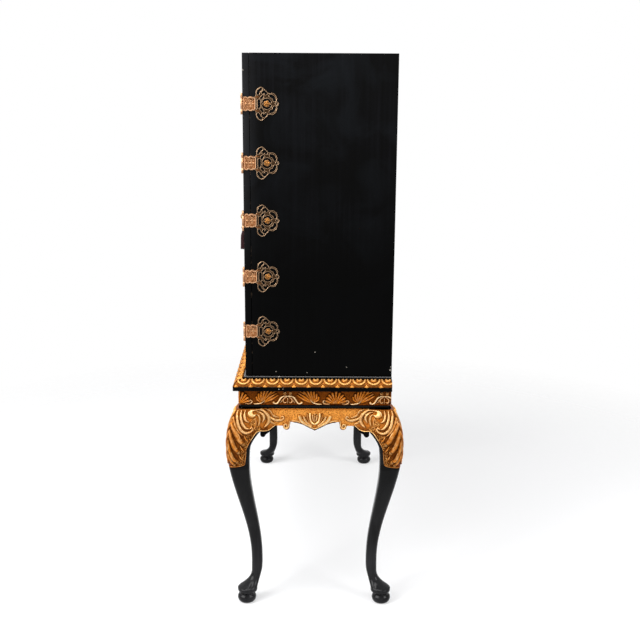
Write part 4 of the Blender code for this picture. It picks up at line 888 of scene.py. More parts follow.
def apronMeshes(name, half, face, centreHalf, turn):
    length = half - shape["postInner"] + 0.0012
    along = np.linspace(-length, length, int(2 * length / apronLook["column"]))
    depth = apronDepth(along, half, centreHalf)
    share = np.linspace(0, 1, apronLook["rows"])[:, None]
    z = carvedTop - (depth - 0.0004) * (1 - share)
    a = np.broadcast_to(along, z.shape)
    fade = swellFade(np.abs(a) - half)
    out = kneeOut(z) * fade - shape["apronSetback"]
    knee = [(np.stack([half - line[:, 0], line[:, 1]], 1), width, rise, shine) for line, width, rise,
            shine in kneeDesign]
    design = knee + mirrored(knee)
    if centreHalf > 100:
        design += shellRidges(1.5)
        fill = runningRidges(92, half / mm - 148, 8)
        design += fill + mirrored(fill)
    else:
        design += shellRidges()
    relief, marks = carve(design, a, z, groundTone(half - np.abs(a), z))
    edge = np.minimum((1 - share) * 30, 1.0)
    out = out + (relief - apronLook["sink"]) * edge
    lip = np.stack([along, -face - out[0] + apronLook["lip"], z[0] + 0.0004], -1)
    front = np.stack([a, -face - out, z], -1)
    cover = np.stack([along, np.full_like(along, legLook["cover"] - face), z[-1]], -1)
    rows = np.concatenate([lip[None], front, cover[None]])
    marks = np.concatenate([marks[:1], marks, marks[-1:]])
    gilt = meshFrom(name + "_face", rows, gridFaces(len(rows), len(along)), marks.reshape(-1, 4))
    # Black board behind it, a little deeper at the ears, where a small drop shows below the gilding
    coarse = np.linspace(-length, length, int(2 * length / 0.002))
    under = apronDepth(coarse, half, centreHalf)
    inward = half - np.abs(coarse)
    drop = np.sqrt(np.clip(1 - ((inward - 0.0675) / 0.0075) ** 2, 0, 1))
    under = under + np.interp(inward, apronLook["earPlaces"], apronLook["ear"]) + 0.006 * drop
    # Painted shade: away from the legs the black board shows as a strip below the gilding's lower edge, for the shade
    # under it
    under = under + apronLook["border"] * ease((inward - 0.148) / 0.012)
    fade = swellFade(np.abs(coarse) - half)
    slices = []
    for level in (0.0, 0.35, 0.7, 1.0):
        height = carvedTop - under * level
        slices.append(np.stack([
            coarse, -face - kneeOut(height) * fade + shape["apronSetback"] + apronLook["boardBack"], height], 1))
    for level in (1.0, 0.0):
        height = carvedTop - under * level
        slices.append(np.stack([coarse, np.full_like(coarse, shape["apronThickness"] - face), height], 1))
    board = meshFrom(name + "_board", np.array(slices), gridFaces(len(slices), len(coarse), flip=True))
    board.set_sharp_from_angle(angle=math.radians(50))
    for mesh in (gilt, board):
        mesh.transform(Matrix.Rotation(turn, 4, "Z"))
    return gilt, board


for name, half, face, centreHalf, turn in runs:
    gilt, board = apronMeshes("apron_" + name, half, face, centreHalf, turn)
    makePiece(gilt.name, gilt, "cabinet", apronGilding, ["apron_" + name])
    makePiece(board.name, board, "cabinet", lacquer)
print("aprons carved")


# Frieze, waist bead and the moulding round the foot of the case

friezeLook = {"bottom": 0.627, "top": 0.6717, "column": 0.0011, "rows": 44, "sink": 0.0026, "back": 0.016}


def friezeMesh(name, half, face, turn):
    along = np.linspace(-half, half, int(2 * half / friezeLook["column"]))
    z = np.linspace(friezeLook["bottom"], friezeLook["top"], friezeLook["rows"])[:, None]
    a, z = np.broadcast_arrays(along, z)
    parts = 2 * round(half / 0.1385) if half > 0.4 else 3
    pitch = 2 * half / parts if half > 0.4 else 0.1385
    design = []
    leaf = leafRidges()
    for k in range(parts + 1):
        place = -half + k * pitch
        if k % 2:
            design += shifted(cartoucheRidges(), place)
            design += shifted(leaf, place) + shifted(mirrored(leaf), place)
        else:
            design += shifted(fanRidges(), place)
    relief, marks = carve(design, a, z, ground=0.3)
    edge = np.minimum(np.minimum(z - friezeLook["bottom"], friezeLook["top"] - z) / 0.0015, 1.0)
    out = (relief - friezeLook["sink"]) * edge
    end = np.sign(a) * np.where(np.abs(a) >= half - 1e-9, out, 0)
    rows = np.stack([a + end, -face - out, z], -1)
    inner = half - friezeLook["back"]
    bottom = np.stack([along * inner / half, np.full_like(along, -face + friezeLook["back"]), z[0]], -1)
    top = np.stack([along * inner / half, np.full_like(along, -face + friezeLook["back"]), z[-1]], -1)
    rows = np.concatenate([bottom[None], rows, top[None]])
    marks = np.concatenate([marks[:1], marks, marks[-1:]])
    mesh = meshFrom(name, rows, gridFaces(len(rows), len(along)), marks.reshape(-1, 4))
    mesh.set_sharp_from_angle(angle=math.radians(60))
    mesh.transform(Matrix.Rotation(turn, 4, "Z"))
    return mesh


# A straight strip with mitred ends; the profile runs out from the face and up
def stripMesh(name, profile, half, face, turn, ends=(1, 1), flat=(0, 0)):
    rings = []
    for end, mitre, stop in ((-1, ends[0], flat[0]), (1, ends[1], flat[1])):
        rings.append([((end * (half + out) if mitre else stop), -face - out, z) for out, z in profile])
    mesh = meshFrom(name, np.array(rings), gridFaces(2, len(profile), closed=True))
    mend(mesh, fill=True, outward=True)
    mesh.set_sharp_from_angle(angle=math.radians(35))
    mesh.transform(Matrix.Rotation(turn, 4, "Z"))
    return mesh


def halfRound(low, high, nose, back, count=14):
    radius = (high - low) / 2
    points = [(back, high), (back, low)]
    for k in range(count + 1):
        turn = -math.pi / 2 + math.pi * k / count
        points.append((nose - radius + radius * math.cos(turn), low + radius + radius * math.sin(turn)))
    return points


for name, half, face, centreHalf, turn in runs:
    makePiece("frieze_carving_" + name, friezeMesh("frieze_carving_" + name, half, face, turn), "cabinet",
              friezeGilding, ["frieze_" + name])
    bead = stripMesh("waist_" + name, halfRound(0.6152, 0.6268, -0.0025, -0.016), half, face, turn)
    makePiece("waist_" + name, bead, "cabinet", legLacquer, ["waist_bead_" + name])
print("frieze carved")

mouldingLook = {"pitch": 0.0430, "low": 0.6843, "ledge": 0.702, "out": 0.035, "wide": 0.026, "beadOut": 0.006,
                "beadHigh": 0.006, "slip": 0.0095, "columns": 40, "rows": 30,
                "caseHalf": 0.555, "doorFront": -0.1985, "caseBack": 0.2195}


# One lunette: round ridges open at the top, a leaf in the middle and half a dart at each side
def lunetteMesh(pitch):
    look = mouldingLook
    arc = 0.5 * math.pi * math.hypot(look["wide"], look["ledge"] - look["low"]) / math.sqrt(2)
    a, s = np.meshgrid(np.linspace(-pitch / 2, pitch / 2, look["columns"]), np.linspace(0, 1, look["rows"]))
    top, half = arc / mm, pitch / 2 / mm
    ridges = []
    for radius, width, rise, shine in ((17.2, 4.4, 2.4, 0.5), (5.2, 5.4, 2.6, 0.45)):
        line = [(radius * math.cos(t), top - 3 + radius * 1.2 * math.sin(t)) for t in np.linspace(math.pi, math.tau,
                                                                                                  15)]
        ridges += lobe(line, (width * 0.7, width, width * 0.7), rise, shine, -0.25, 1.2, 0.7)
    dart = [ridge([(half, 0.2), (half, 3), (half, 9.5)], (7.4, 5.0, 0.8), 1.8, 0.2)]
    ridges += dart + mirrored(dart)
    relief, marks = carve(ridges, a, s * arc, ground=0.35, cutDepth=0.5 * mm)
    turn = s * math.pi / 2
    out = look["out"] - look["wide"] * (1 - np.cos(turn)) + (relief - 0.0024) * np.cos(turn)
    z = look["low"] + (look["ledge"] - look["low"]) * np.sin(turn) + (relief - 0.0024) * np.sin(turn)
    z = np.maximum(z, look["low"])
    return meshFrom("lunette", np.stack([a, -out, z], -1), gridFaces(look["rows"], look["columns"]),
                    marks.reshape(-1, 4))


# Row of lunettes along X
def rowTree():
    tree = bpy.data.node_groups.new("lunetteRow", "GeometryNodeTree")
    tree.interface.new_socket("Lunette", in_out="INPUT", socket_type="NodeSocketObject")
    tree.interface.new_socket("Count", in_out="INPUT", socket_type="NodeSocketInt")
    tree.interface.new_socket("Pitch", in_out="INPUT", socket_type="NodeSocketFloat")
    tree.interface.new_socket("Gilding", in_out="INPUT", socket_type="NodeSocketMaterial")
    tree.interface.new_socket("Geometry", in_out="OUTPUT", socket_type="NodeSocketGeometry")
    given = addNode(tree, "NodeGroupInput").outputs
    less = mathNode(tree, "SUBTRACT", given["Count"], 1.0)
    span = mathNode(tree, "MULTIPLY", less.outputs[0], given["Pitch"])
    start = mathNode(tree, "MULTIPLY", span.outputs[0], -0.5)
    first = addNode(tree, "ShaderNodeCombineXYZ", {}, {0: start.outputs[0]})
    step = addNode(tree, "ShaderNodeCombineXYZ", {}, {0: given["Pitch"]})
    line = addNode(tree, "GeometryNodeMeshLine", {}, {
        "Count": given["Count"], "Start Location": first.outputs[0], "Offset": step.outputs[0]})
    shape = addNode(tree, "GeometryNodeObjectInfo", {}, {"Object": given["Lunette"]})
    copies = addNode(tree, "GeometryNodeInstanceOnPoints", {}, {
        "Points": line.outputs[0], "Instance": shape.outputs["Geometry"]})
    real = addNode(tree, "GeometryNodeRealizeInstances", {}, {0: copies.outputs[0]})
    coat = addNode(tree, "GeometryNodeSetMaterial", {}, {"Geometry": real.outputs[0], "Material": given["Gilding"]})
    addNode(tree, "NodeGroupOutput", {}, {0: coat.outputs[0]})
    return tree


def runTree(tree, values, name):
    holder = linked(name, bpy.data.meshes.new(name))
    modifier = holder.modifiers.new("nodes", "NODES")
    modifier.node_group = tree
    for item in tree.interface.items_tree:
        if item.in_out == "INPUT" and item.name in values:
            modifier[item.identifier] = values[item.name]
    bpy.context.view_layer.update()
    mesh = evaluated(holder)
    mesh.name = name
    return mesh


def mouldingMeshes(name, half, face, turn, backEnd):
    look = mouldingLook
    outer = half + look["out"] if not backEnd else None
    length = 2 * outer if outer else look["caseBack"] - look["doorFront"] + look["out"]
    count = round(length / look["pitch"])
    pitch = length / count
    sample = linked("lunette", lunetteMesh(pitch))
    mesh = runTree(rowTree(), {"Lunette": sample, "Count": count + abs(backEnd), "Pitch": pitch,
                               "Gilding": mouldingGilding}, name)
    bpy.data.objects.remove(sample, do_unlink=True)
    place = np.zeros(len(mesh.vertices) * 3, np.float32)
    mesh.vertices.foreach_get("co", place)
    place = place.reshape(-1, 3)
    out = -place[:, 1]
    place[:, 1] -= face
    if backEnd:
        middle = (look["caseBack"] + look["doorFront"] - look["out"]) / 2
        along = place[:, 0] * backEnd + middle + look["slip"] - pitch / 2
        place[:, 0] = np.clip(along, look["doorFront"] - out, look["caseBack"]) * backEnd
    else:
        place[:, 0] = np.clip(place[:, 0], -(half + out), half + out)
    mesh.vertices.foreach_set("co", place.ravel())
    bm = bmesh.new()
    bm.from_mesh(mesh)
    bmesh.ops.remove_doubles(bm, verts=bm.verts, dist=2e-5)
    if backEnd:
        # The end towards the wall is closed
        profile = [(look["out"] - look["wide"] * (1 - math.cos(t)),
                    look["low"] + (look["ledge"] - look["low"]) * math.sin(t))
                   for t in np.linspace(0, math.pi / 2, 12)] + [(0, look["ledge"]), (0, look["low"])]
        bm.faces.new([bm.verts.new(((look["caseBack"] - 0.0004) * backEnd, -face - out, z)) for out, z in profile])
    bm.to_mesh(mesh)
    bm.free()
    mesh.shade_smooth()
    mesh.transform(Matrix.Rotation(turn, 4, "Z"))
    if backEnd:
        ends = ((1, 0), (0, look["caseBack"])) if backEnd > 0 else ((0, 1), (-look["caseBack"], 0))
        bead = stripMesh(name + "_bead", halfRound(look["ledge"] - 0.001, look["ledge"] + look["beadHigh"],
                                                   look["beadOut"],
                         0.0003), -look["doorFront"], face, turn, *ends)
    else:
        bead = stripMesh(name + "_bead", halfRound(look["ledge"] - 0.001, look["ledge"] + look["beadHigh"],
                                                   look["beadOut"],
                         0.0003), half, face, turn)
    return mesh, bead


for name, half, face, turn, backEnd in (
        ("front", mouldingLook["caseHalf"], -mouldingLook["doorFront"], 0.0, 0),
        ("right", 0, mouldingLook["caseHalf"], math.pi / 2, 1), ("left", 0, mouldingLook["caseHalf"], -math.pi / 2,
                                                                 -1)):
    row, bead = mouldingMeshes("ovolo_" + name, half, face, turn, backEnd)
    makePiece("ovolo_" + name, row, "cabinet", mouldingGilding, ["top_moulding_" + name])
    makePiece("foot_bead_" + name, bead, "cabinet", beadLacquer)
print("moulding carved")


# Case, doors and what is inside: the frame's boards with eased edges

boards = (("case_floor", "cabinet", 0.8, lacquer, "black_lacquer"),
          ("case_side_left", "cabinet", 0.9, lacquer, "black_lacquer"),
          ("case_side_right", "cabinet", 0.9, lacquer, "black_lacquer"), ("case_top", "cabinet", 0.8, lacquer,
                                                                          "black_lacquer"),
          ("case_back", "cabinet", 0.6, lacquer, "black_lacquer"), ("stand_top", "cabinet", 1.5, lacquer,
                                                                    "black_lacquer"),
          ("door_right", "door_right", 0.9, lacquer, "black_lacquer"), ("door_left", "door_left", 0.9, lacquer,
                                                                        "black_lacquer"),
          ("shelf", "cabinet", 1.5, wood, "mahogany"), ("bottle_divider", "cabinet", 1.5, wood, "mahogany"),
          ("mirror", "cabinet", 0.8, mirrorGlass, "mirror_glass"), ("glass_shelf", "cabinet", 1.0, shelfGlass,
                                                                    "shelf_glass"),
          ("lock_case", "door_right", 0.3, lockBrass, "gilt_brass"), ("lock_bolt", "lock_bolt", 0.3, steel, "steel"),
          ("door_bolt_guide", "door_left", 0.4, lockBrass, "gilt_brass"), ("door_bolt", "door_bolt", 0.5, lockBrass,
                                                                           "gilt_brass"))
for node, body, width, material, slot in boards:
    makePiece(node + "_board", easedBoard(node, width * mm), body, material, [node])
print("case boards eased")


# Metal fittings: strips and studs laid on a plate, drawn in mm in the plate's own plane

def sideways(line):
    along = np.gradient(line, axis=0)
    along /= np.linalg.norm(along, axis=1, keepdims=True)
    return np.stack([-along[:, 1], along[:, 0]], 1)


# A domed strip along a line: points are across, up and off the plate
def bandParts(line, half, rise, base, points, faces):
    line = np.asarray(line, float) * mm
    across = sideways(line)
    profile = ((-1, 0), (-0.8, 0.7), (0, 1.0), (0.8, 0.7), (1, 0))
    start, n = len(points), len(profile)
    for spot, side in zip(line, across):
        for u, h in profile:
            points.append((*(spot + side * u * half * mm), (base + h * rise) * mm))
    for k in range(len(line) - 1):
        for j in range(n - 1):
            a = start + k * n + j
            faces.append((a, a + n, a + n + 1, a + 1))
    faces.append([start + j for j in range(n)])
    faces.append([start + (len(line) - 1) * n + j for j in reversed(range(n))])


# A low dome, such as a stud or a petal
def domeParts(place, radius, rise, base, points, faces, sides=12):
    start = len(points)
    for share, high in ((1.0, 0.0), (0.85, 0.55), (0.5, 0.88)):
        for k in range(sides):
            turn = math.tau * k / sides
            points.append(((place[0] + radius * share * math.cos(turn)) * mm,
                           (place[1] + radius * share * math.sin(turn)) * mm, (base + rise * high) * mm))
    for ring in range(2):
        for k in range(sides):
            a, b = start + ring * sides + k, start + ring * sides + (k + 1) % sides
            faces.append((a, b, b + sides, a + sides))
    points.append((place[0] * mm, place[1] * mm, (base + rise) * mm))
    for k in range(sides):
        faces.append((start + 2 * sides + k, start + 2 * sides + (k + 1) % sides, len(points) - 1))


# A turned shape about the plate's up axis; the profile gives height and radius in metres
def turnedParts(profile, points, faces, sides=20):
    start = len(points)
    for height, radius in profile:
        for k in range(sides):
            turn = math.tau * k / sides
            points.append((radius * math.cos(turn), height, radius * math.sin(turn)))
    for k in range(len(profile) - 1):
        for j in range(sides):
            a, b = start + k * sides + j, start + k * sides + (j + 1) % sides
            faces.append((a, a + sides, b + sides, b))


# Loop round a line at a distance, with round ends
def capsule(line, half):
    line = smoothLine(line, 5)
    across = sideways(line)
    along = np.stack([across[:, 1], -across[:, 0]], 1)
    turns = np.radians(np.linspace(90, -90, 7))[1:-1, None]
    first = -np.cos(turns) * along[0] - np.sin(turns) * across[0]
    last = np.cos(turns) * along[-1] + np.sin(turns) * across[-1]
    return np.concatenate([line + across * half, line[-1] + last * half, (line - across * half)[::-1],
                           line[0] + first * half])


def closed(loop):
    return np.concatenate([loop, loop[:1]])


# Pierced plate with rounded edges, filled between its outline and its holes
def piercedPlate(name, outline, holes, thickness, rounding):
    curve = bpy.data.curves.new(name, "CURVE")
    curve.dimensions, curve.fill_mode = "2D", "BOTH"
    curve.extrude, curve.bevel_depth, curve.bevel_resolution = thickness / 2 - rounding, rounding, 1
    curve.offset = -rounding
    for loop in (outline, *holes):
        spline = curve.splines.new("POLY")
        spline.points.add(len(loop) - 1)
        for point, (s, t) in zip(spline.points, np.asarray(loop) * mm):
            point.co = (s, t, 0, 1)
        spline.use_cyclic_u = True
    holder = linked(name, curve)
    bpy.context.view_layer.update()
    mesh = evaluated(holder)
    bpy.data.curves.remove(curve)
    points = np.zeros(len(mesh.vertices) * 3, np.float32)
    mesh.vertices.foreach_get("co", points)
    points = points.reshape(-1, 3) + (0, 0, thickness / 2)
    faces = [tuple(face.vertices) for face in mesh.polygons]
    bpy.data.meshes.remove(mesh)
    return [tuple(p) for p in points.tolist()], faces


def fitting(name, points, faces, marks, body, material, nodes=(), smooth=48):
    mesh = meshFrom(name, points, faces, marks)
    mend(mesh, 1e-6, outward=True)
    mesh.shade_smooth()
    mesh.set_sharp_from_angle(angle=math.radians(smooth))
    return makePiece(name, mesh, body, material, nodes)


# Hinges: a scalloped neck with two flowers on it, a pierced rosette with raised rims and a bud, and a knuckle

hingeLook = {"pivotOffset": 0.0022, "plate": 1.2, "rim": 0.55, "rimRise": 0.8, "knuckleRadius": 0.0028,
             "knuckleLength": 0.056, "doorKnuckle": 0.0274, "heights": (1.4675, 1.3105, 1.1535, 0.9965, 0.8395)}
# Upper half of the outline: out from the pin and up from the axis
leafEdge = (
    (2.6, 14.6), (4.4, 18.0), (8.3, 19.2), (12.3, 19.3), (15.6, 17.8), (17.2, 17.0), (19.3, 18.4), (23, 19.5), (27.5,
                                                                                                                19.1),
    (30.4, 17.7), (33.6, 17.8), (36.4, 18.8), (38.4, 23.0), (38.4, 28.0), (38.9, 33.4), (41.4, 38.2),
    (46.6, 42.0), (53.5, 44.4), (60, 40.8), (65.6, 34.8), (70.3, 29.4), (75.2, 27.9), (83.4, 28.5),
    (91.4, 23.3), (96.0, 13.2), (94.0, 6.8), (97.8, 5.2), (100.6, 0))
leafHoles = (
    (((44.2, 27.2), (47.4, 34.4), (52.4, 38.2)), 3.9), (((58.0, 29.2), (61, 31.2), (64.8, 27.6)),
                                                        4.5), (((52.6, 14.2), (57, 19.2)), 3.3),
    (((57.6, 4.8), (61.6, 9.6), (67.5, 11.4), (73, 9.9), (77.4, 5.0)), 2.9), (((78, 20.5), (85.6, 17), (88.6, 9.5)),
                                                                              4.2))
axisHoles = ((((47, -8.5), (47, 8.5)), 3.6), (((39.2, -13), (39.2, 13)), 1.5), (((93.6, -0.2), (93.6, 0.2)), 2.9))
neckLines = (
    ((5.8, 14), (8.6, 16.4), (12.3, 16.7), (17, 14.4), (23, 17), (29, 15.2), (34, 15), (35.6, 11.5), (35.9, 6),
     (35.9, 0)),
    ((6.4, 0), (6.4, 8), (5.8, 14)))
neckShell = (((16.6, 0), (17.4, 5), (16.8, 12.5)), ((9.6, 3.6), (9.4, 8), (11.2, 12.4)),
             ((14, 4), (14.4, 8), (13, 12.6)),
             ((20.6, 5), (20, 9), (21.6, 13.2)), ((29.6, 4.6), (31, 8.6), (29.6, 12.4)))
neckPetals = ((12, 0, 3.2), (25.2, 0, 4.6), (25.2, 7.2, 3.0), (31.2, 0, 2.6), (20.4, 0, 2.2))
budPetals = ((73, 0, 3.7), (69.2, 5.2, 3.6), (63.2, 3.3, 3.5), (67.5, 0, 4.2))


# Points, faces and marks of a leaf: share of a rim, share of the worked neck, share of the bud
def leafParts():
    look = hingeLook
    upper = smoothLine(leafEdge, 5)
    outline = np.concatenate([upper, upper[-2::-1] * (1, -1)])
    loops = [capsule(np.array(line) * (1, sign), half) for line, half in leafHoles for sign in (1, -1)]
    loops += [capsule(line, half) for line, half in axisHoles]
    points, faces = piercedPlate("leaf", outline, loops, look["plate"] * mm, 0.0003)
    marks = [(0.0, 1.0 if s < 0.0375 and abs(t) < 0.02 else 0.0, 0.0, 1) for s, t, h in points]
    inset = upper - sideways(upper) * 0.75
    rims = [np.concatenate([inset, inset[::-1] * (1, -1)])]
    rims += [closed(capsule(np.array(line) * (1, sign), half + 0.6)) for line, half in leafHoles for sign in (1, -1)]
    rims += [closed(capsule(line, half + 0.6)) for line, half in axisHoles if half > 1]
    for line in rims:
        bandParts(line, look["rim"], look["rimRise"], look["plate"] - 0.1, points, faces)
    marks += [(1.0, 0.0, 0.0, 1)] * (len(points) - len(marks))
    for lines, half, share in ((neckLines, 0.9, 1.0), (neckShell, 0.8, 0.5)):
        for line in lines:
            for sign in (1, -1):
                bandParts(smoothLine(line, 6) * (1, sign), half, 0.7, look["plate"] - 0.1, points, faces)
        marks += [(share, 1.0, 0.0, 1)] * (len(points) - len(marks))
    for petals, rises, mark in ((neckPetals, (0.6, 0.9), (0.6, 0.7, 0.3, 1)),
                                (budPetals, (1.6, 2.4), (0.3, 0.0, 1.0, 1))):
        for s, t, radius in petals:
            for sign in ((1, -1) if t else (1,)):
                domeParts((s, t * sign), radius, rises[0] if t else rises[1], look["plate"] - 0.2, points, faces)
        marks += [mark] * (len(points) - len(marks))
    return points, faces, marks


leafPoints, leafFaces, leafMarks = leafParts()


def hingePiece(name, body, node, side, height, onCase):
    look = hingeLook
    points, faces = list(leafPoints), list(leafFaces)
    inner, outer, radius = look["doorKnuckle"] / 2, look["knuckleLength"] / 2, look["knuckleRadius"]
    for low, high in (((-outer, -inner - 0.0003), (inner + 0.0003, outer)) if onCase else ((-inner, inner),)):
        turnedParts(((low, 0.0), (low, 0.8 * radius), (low + 0.0005, radius), (high - 0.0005, radius),
                     (high, 0.8 * radius),
                     (high, 0.0)), points, faces)
    marks = leafMarks + [(0.75, 0.6, 0.0, 1)] * (len(points) - len(leafMarks))
    points = np.array(points)
    off = points[:, 2].copy()
    off[:len(leafPoints)] -= look["pivotOffset"] - 0.0003
    pin = np.array((side * (0.555 + look["pivotOffset"]), -0.1985 - look["pivotOffset"], height))
    if onCase:
        place = np.stack([side * off, points[:, 0], points[:, 1]], 1) + pin
    else:
        place = np.stack([-side * points[:, 0], -off, points[:, 1]], 1) + pin
    fitting(name, place, faces, marks, body, brass, [node])


for sideName, side in (("right", 1), ("left", -1)):
    for k, height in enumerate(hingeLook["heights"]):
        stem = f"hinge_{sideName}_{k + 1}_"
        hingePiece(stem + "case_strap", "cabinet", stem + "case_leaf", side, height, True)
        hingePiece(stem + "door_strap", "door_" + sideName, stem + "door_leaf", side, height, False)
print("hinges made")


# Lock plates: two scalloped halves with rings, rays and studs, and a rim round the keyhole

lockLook = {"front": -0.2000, "height": 1.100, "keyX": 30, "plate": 1.2, "radius": 70, "scallop": 3, "lobes": 8,
            "gap": 0.8,
            "shank": 3.4, "slot": 2.1, "slotDrop": 12.8, "rings": ((63, 1.3, 1.3), (57.5, 0.8, 0.8), (19, 1.0, 1.0),
                                                                   (15.5, 0.6, 0.6)),
            "rays": 12, "rayFrom": 23, "rayTo": 52, "studs": 8, "studAt": 66.3}


def lockPlate(name, side, body):
    look = lockLook
    turns = np.radians(np.linspace(-90, 90, 12 * look["lobes"] + 1))
    radius = look["radius"] - look["scallop"] * (1 - np.abs(np.cos(look["lobes"] * (turns + math.pi / 2))))
    outline = np.stack([np.maximum(radius * np.cos(turns), look["gap"]), radius * np.sin(turns)], 1)
    arc = np.radians(np.linspace(-50, 230, 19))
    keyhole = [(look["keyX"] + look["slot"], -look["slotDrop"])]
    keyhole += [(look["keyX"] + look["shank"] * math.cos(t), look["shank"] * math.sin(t)) for t in arc]
    keyhole += [(look["keyX"] - look["slot"], -look["slotDrop"])]
    points, faces = piercedPlate(name, outline, [keyhole] if side > 0 else [], look["plate"] * mm, 0.0003)
    points = [(s, t, h - look["plate"] * mm) for s, t, h in points]
    marks = [(0.0, 0.0, 0.0, 1)] * len(points)
    for radius, half, rise in look["rings"]:
        reach = math.acos(1.2 / radius)
        turns = np.linspace(-reach, reach, 48)
        bandParts(np.stack([radius * np.cos(turns), radius * np.sin(turns)], 1), half, rise, 0.0, points, faces)
    for k in range(look["rays"]):
        turn = math.radians(-90 + 180 * (k + 0.5) / look["rays"])
        spots = np.linspace(look["rayFrom"], look["rayTo"], 6)
        line = np.stack([spots * math.cos(turn), spots * math.sin(turn)], 1)
        clear = min(math.dist((look["keyX"], v), p) for p in line for v in (0, -6, -12))
        if side < 0 or clear > 8.5:
            bandParts(line, 1.6, 0.9, 0.0, points, faces)
            domeParts(line[-1], 2.4, 1.1, 0.0, points, faces)
    for k in range(1, look["studs"]):
        turn = math.radians(-90 + 180 * k / look["studs"])
        domeParts((look["studAt"] * math.cos(turn), look["studAt"] * math.sin(turn)), 1.6, 1.4, 0.0, points, faces)
    if side > 0:
        bandParts(closed(capsule(((look["keyX"], 0), (look["keyX"], -6), (look["keyX"], -12)), 6.4)), 1.1, 1.4, 0.0,
                  points, faces)
    points = np.array(points)
    place = np.stack([side * points[:, 0], look["front"] - points[:, 2], look["height"] + points[:, 1]], 1)
    marks += [(0.6, 0.0, 0.0, 1)] * (len(points) - len(marks))
    fitting(name + "_worked", place, faces, marks, body, lockBrass, [name], 30)


lockPlate("lock_plate_right", 1, "door_right")
lockPlate("lock_plate_left", -1, "door_left")


# Key: ring bow, turned collars on the shank, and the bit

keyLook = {"axis": (0.030, -0.1985, 1.100), "bowReach": 0.041, "bowRadius": 0.009, "bowWire": 0.0016, "tail": 0.0247,
           "bit": (0.002, 0.0057, 0.010)}


def ringParts(place, radius, wire, across, up, points, faces, steps=36, sides=10):
    start = len(points)
    across, up = np.array(across, float), np.array(up, float)
    away = np.cross(across, up)
    for k in range(steps):
        turn = math.tau * k / steps
        outward = across * math.cos(turn) + up * math.sin(turn)
        for j in range(sides):
            roll = math.tau * j / sides
            spot = outward * (radius + wire * math.cos(roll)) + away * wire * math.sin(roll)
            points.append(tuple(np.array(place) + spot))
    for k in range(steps):
        for j in range(sides):
            a, b = start + k * sides + j, start + k * sides + (j + 1) % sides
            c, d = start + (k + 1) % steps * sides + (j + 1) % sides, start + (k + 1) % steps * sides + j
            faces.append((a, d, c, b))


def keyPiece():
    look = keyLook
    points, faces = [], []
    front = -look["bowReach"] + look["bowRadius"] - look["bowWire"] / 2
    turnedParts([(front + step, radius) for step, radius in (
        (0, 0.0), (0, 0.0016), (0.001, 0.0024), (0.0025, 0.0022), (0.0040, 0.0030), (0.0046, 0.0044), (0.0074,
                                                                                                       0.0044),
        (0.0080, 0.0031), (0.0100, 0.0028), (0.0106, 0.0036), (0.0124, 0.0036), (0.0130, 0.0029))]
        + [(look["tail"], 0.0029), (look["tail"], 0.0)], points, faces)
    ringParts((0, -look["bowReach"], 0), look["bowRadius"], look["bowWire"], (0, 1, 0), (0, 0, 1), points, faces)
    start = len(points)
    wide, deep, tall = look["bit"]
    points += [(x, y, z) for x in (-wide / 2, wide / 2) for y in (look["tail"] - deep, look["tail"]) for z in (-tall,
                                                                                                               -0.001)]
    faces += [[start + k for k in face] for face in (
        (0, 1, 3, 2), (4, 6, 7, 5), (0, 4, 5, 1), (2, 3, 7, 6), (0, 2, 6, 4), (1, 5, 7, 3))]
    fitting("key_turned", np.array(points) + look["axis"], faces, [(0.4, 0.0, 0.0, 1)] * len(points), "key",
            lockBrass, ["key"])


keyPiece()
print("lock dressed")


# Tassel: a looped and twisted cord, a bound head and a skirt of floss

tasselLook = {"axis": (0.030, -0.2395, 1.0910), "loopDrop": 0.0010, "loopRadius": 0.0040, "cord": 0.0011,
              "cordLength": 0.016,
              "head": 0.0085, "skirt": 0.0635, "radius": 0.0112, "outer": 84, "inner": 48, "strand": 0.00055}


# One strand of floss, hanging from the head's edge and bowed outwards
def strandMesh(radius, length):
    look = tasselLook
    rings = []
    for share in np.linspace(0, 1, 8):
        out = radius * (0.50 + 0.42 * ease(share * 3) + 0.08 * share)
        wide = look["strand"] * (0.7 + 0.5 * share)
        rings.append([(out + wide * math.cos(t), wide * math.sin(t), -length * share) for t in np.radians((45, 135,
                                                                                                           225, 315))])
    return meshFrom("strand", np.array(rings), gridFaces(8, 4, closed=True, flip=True))


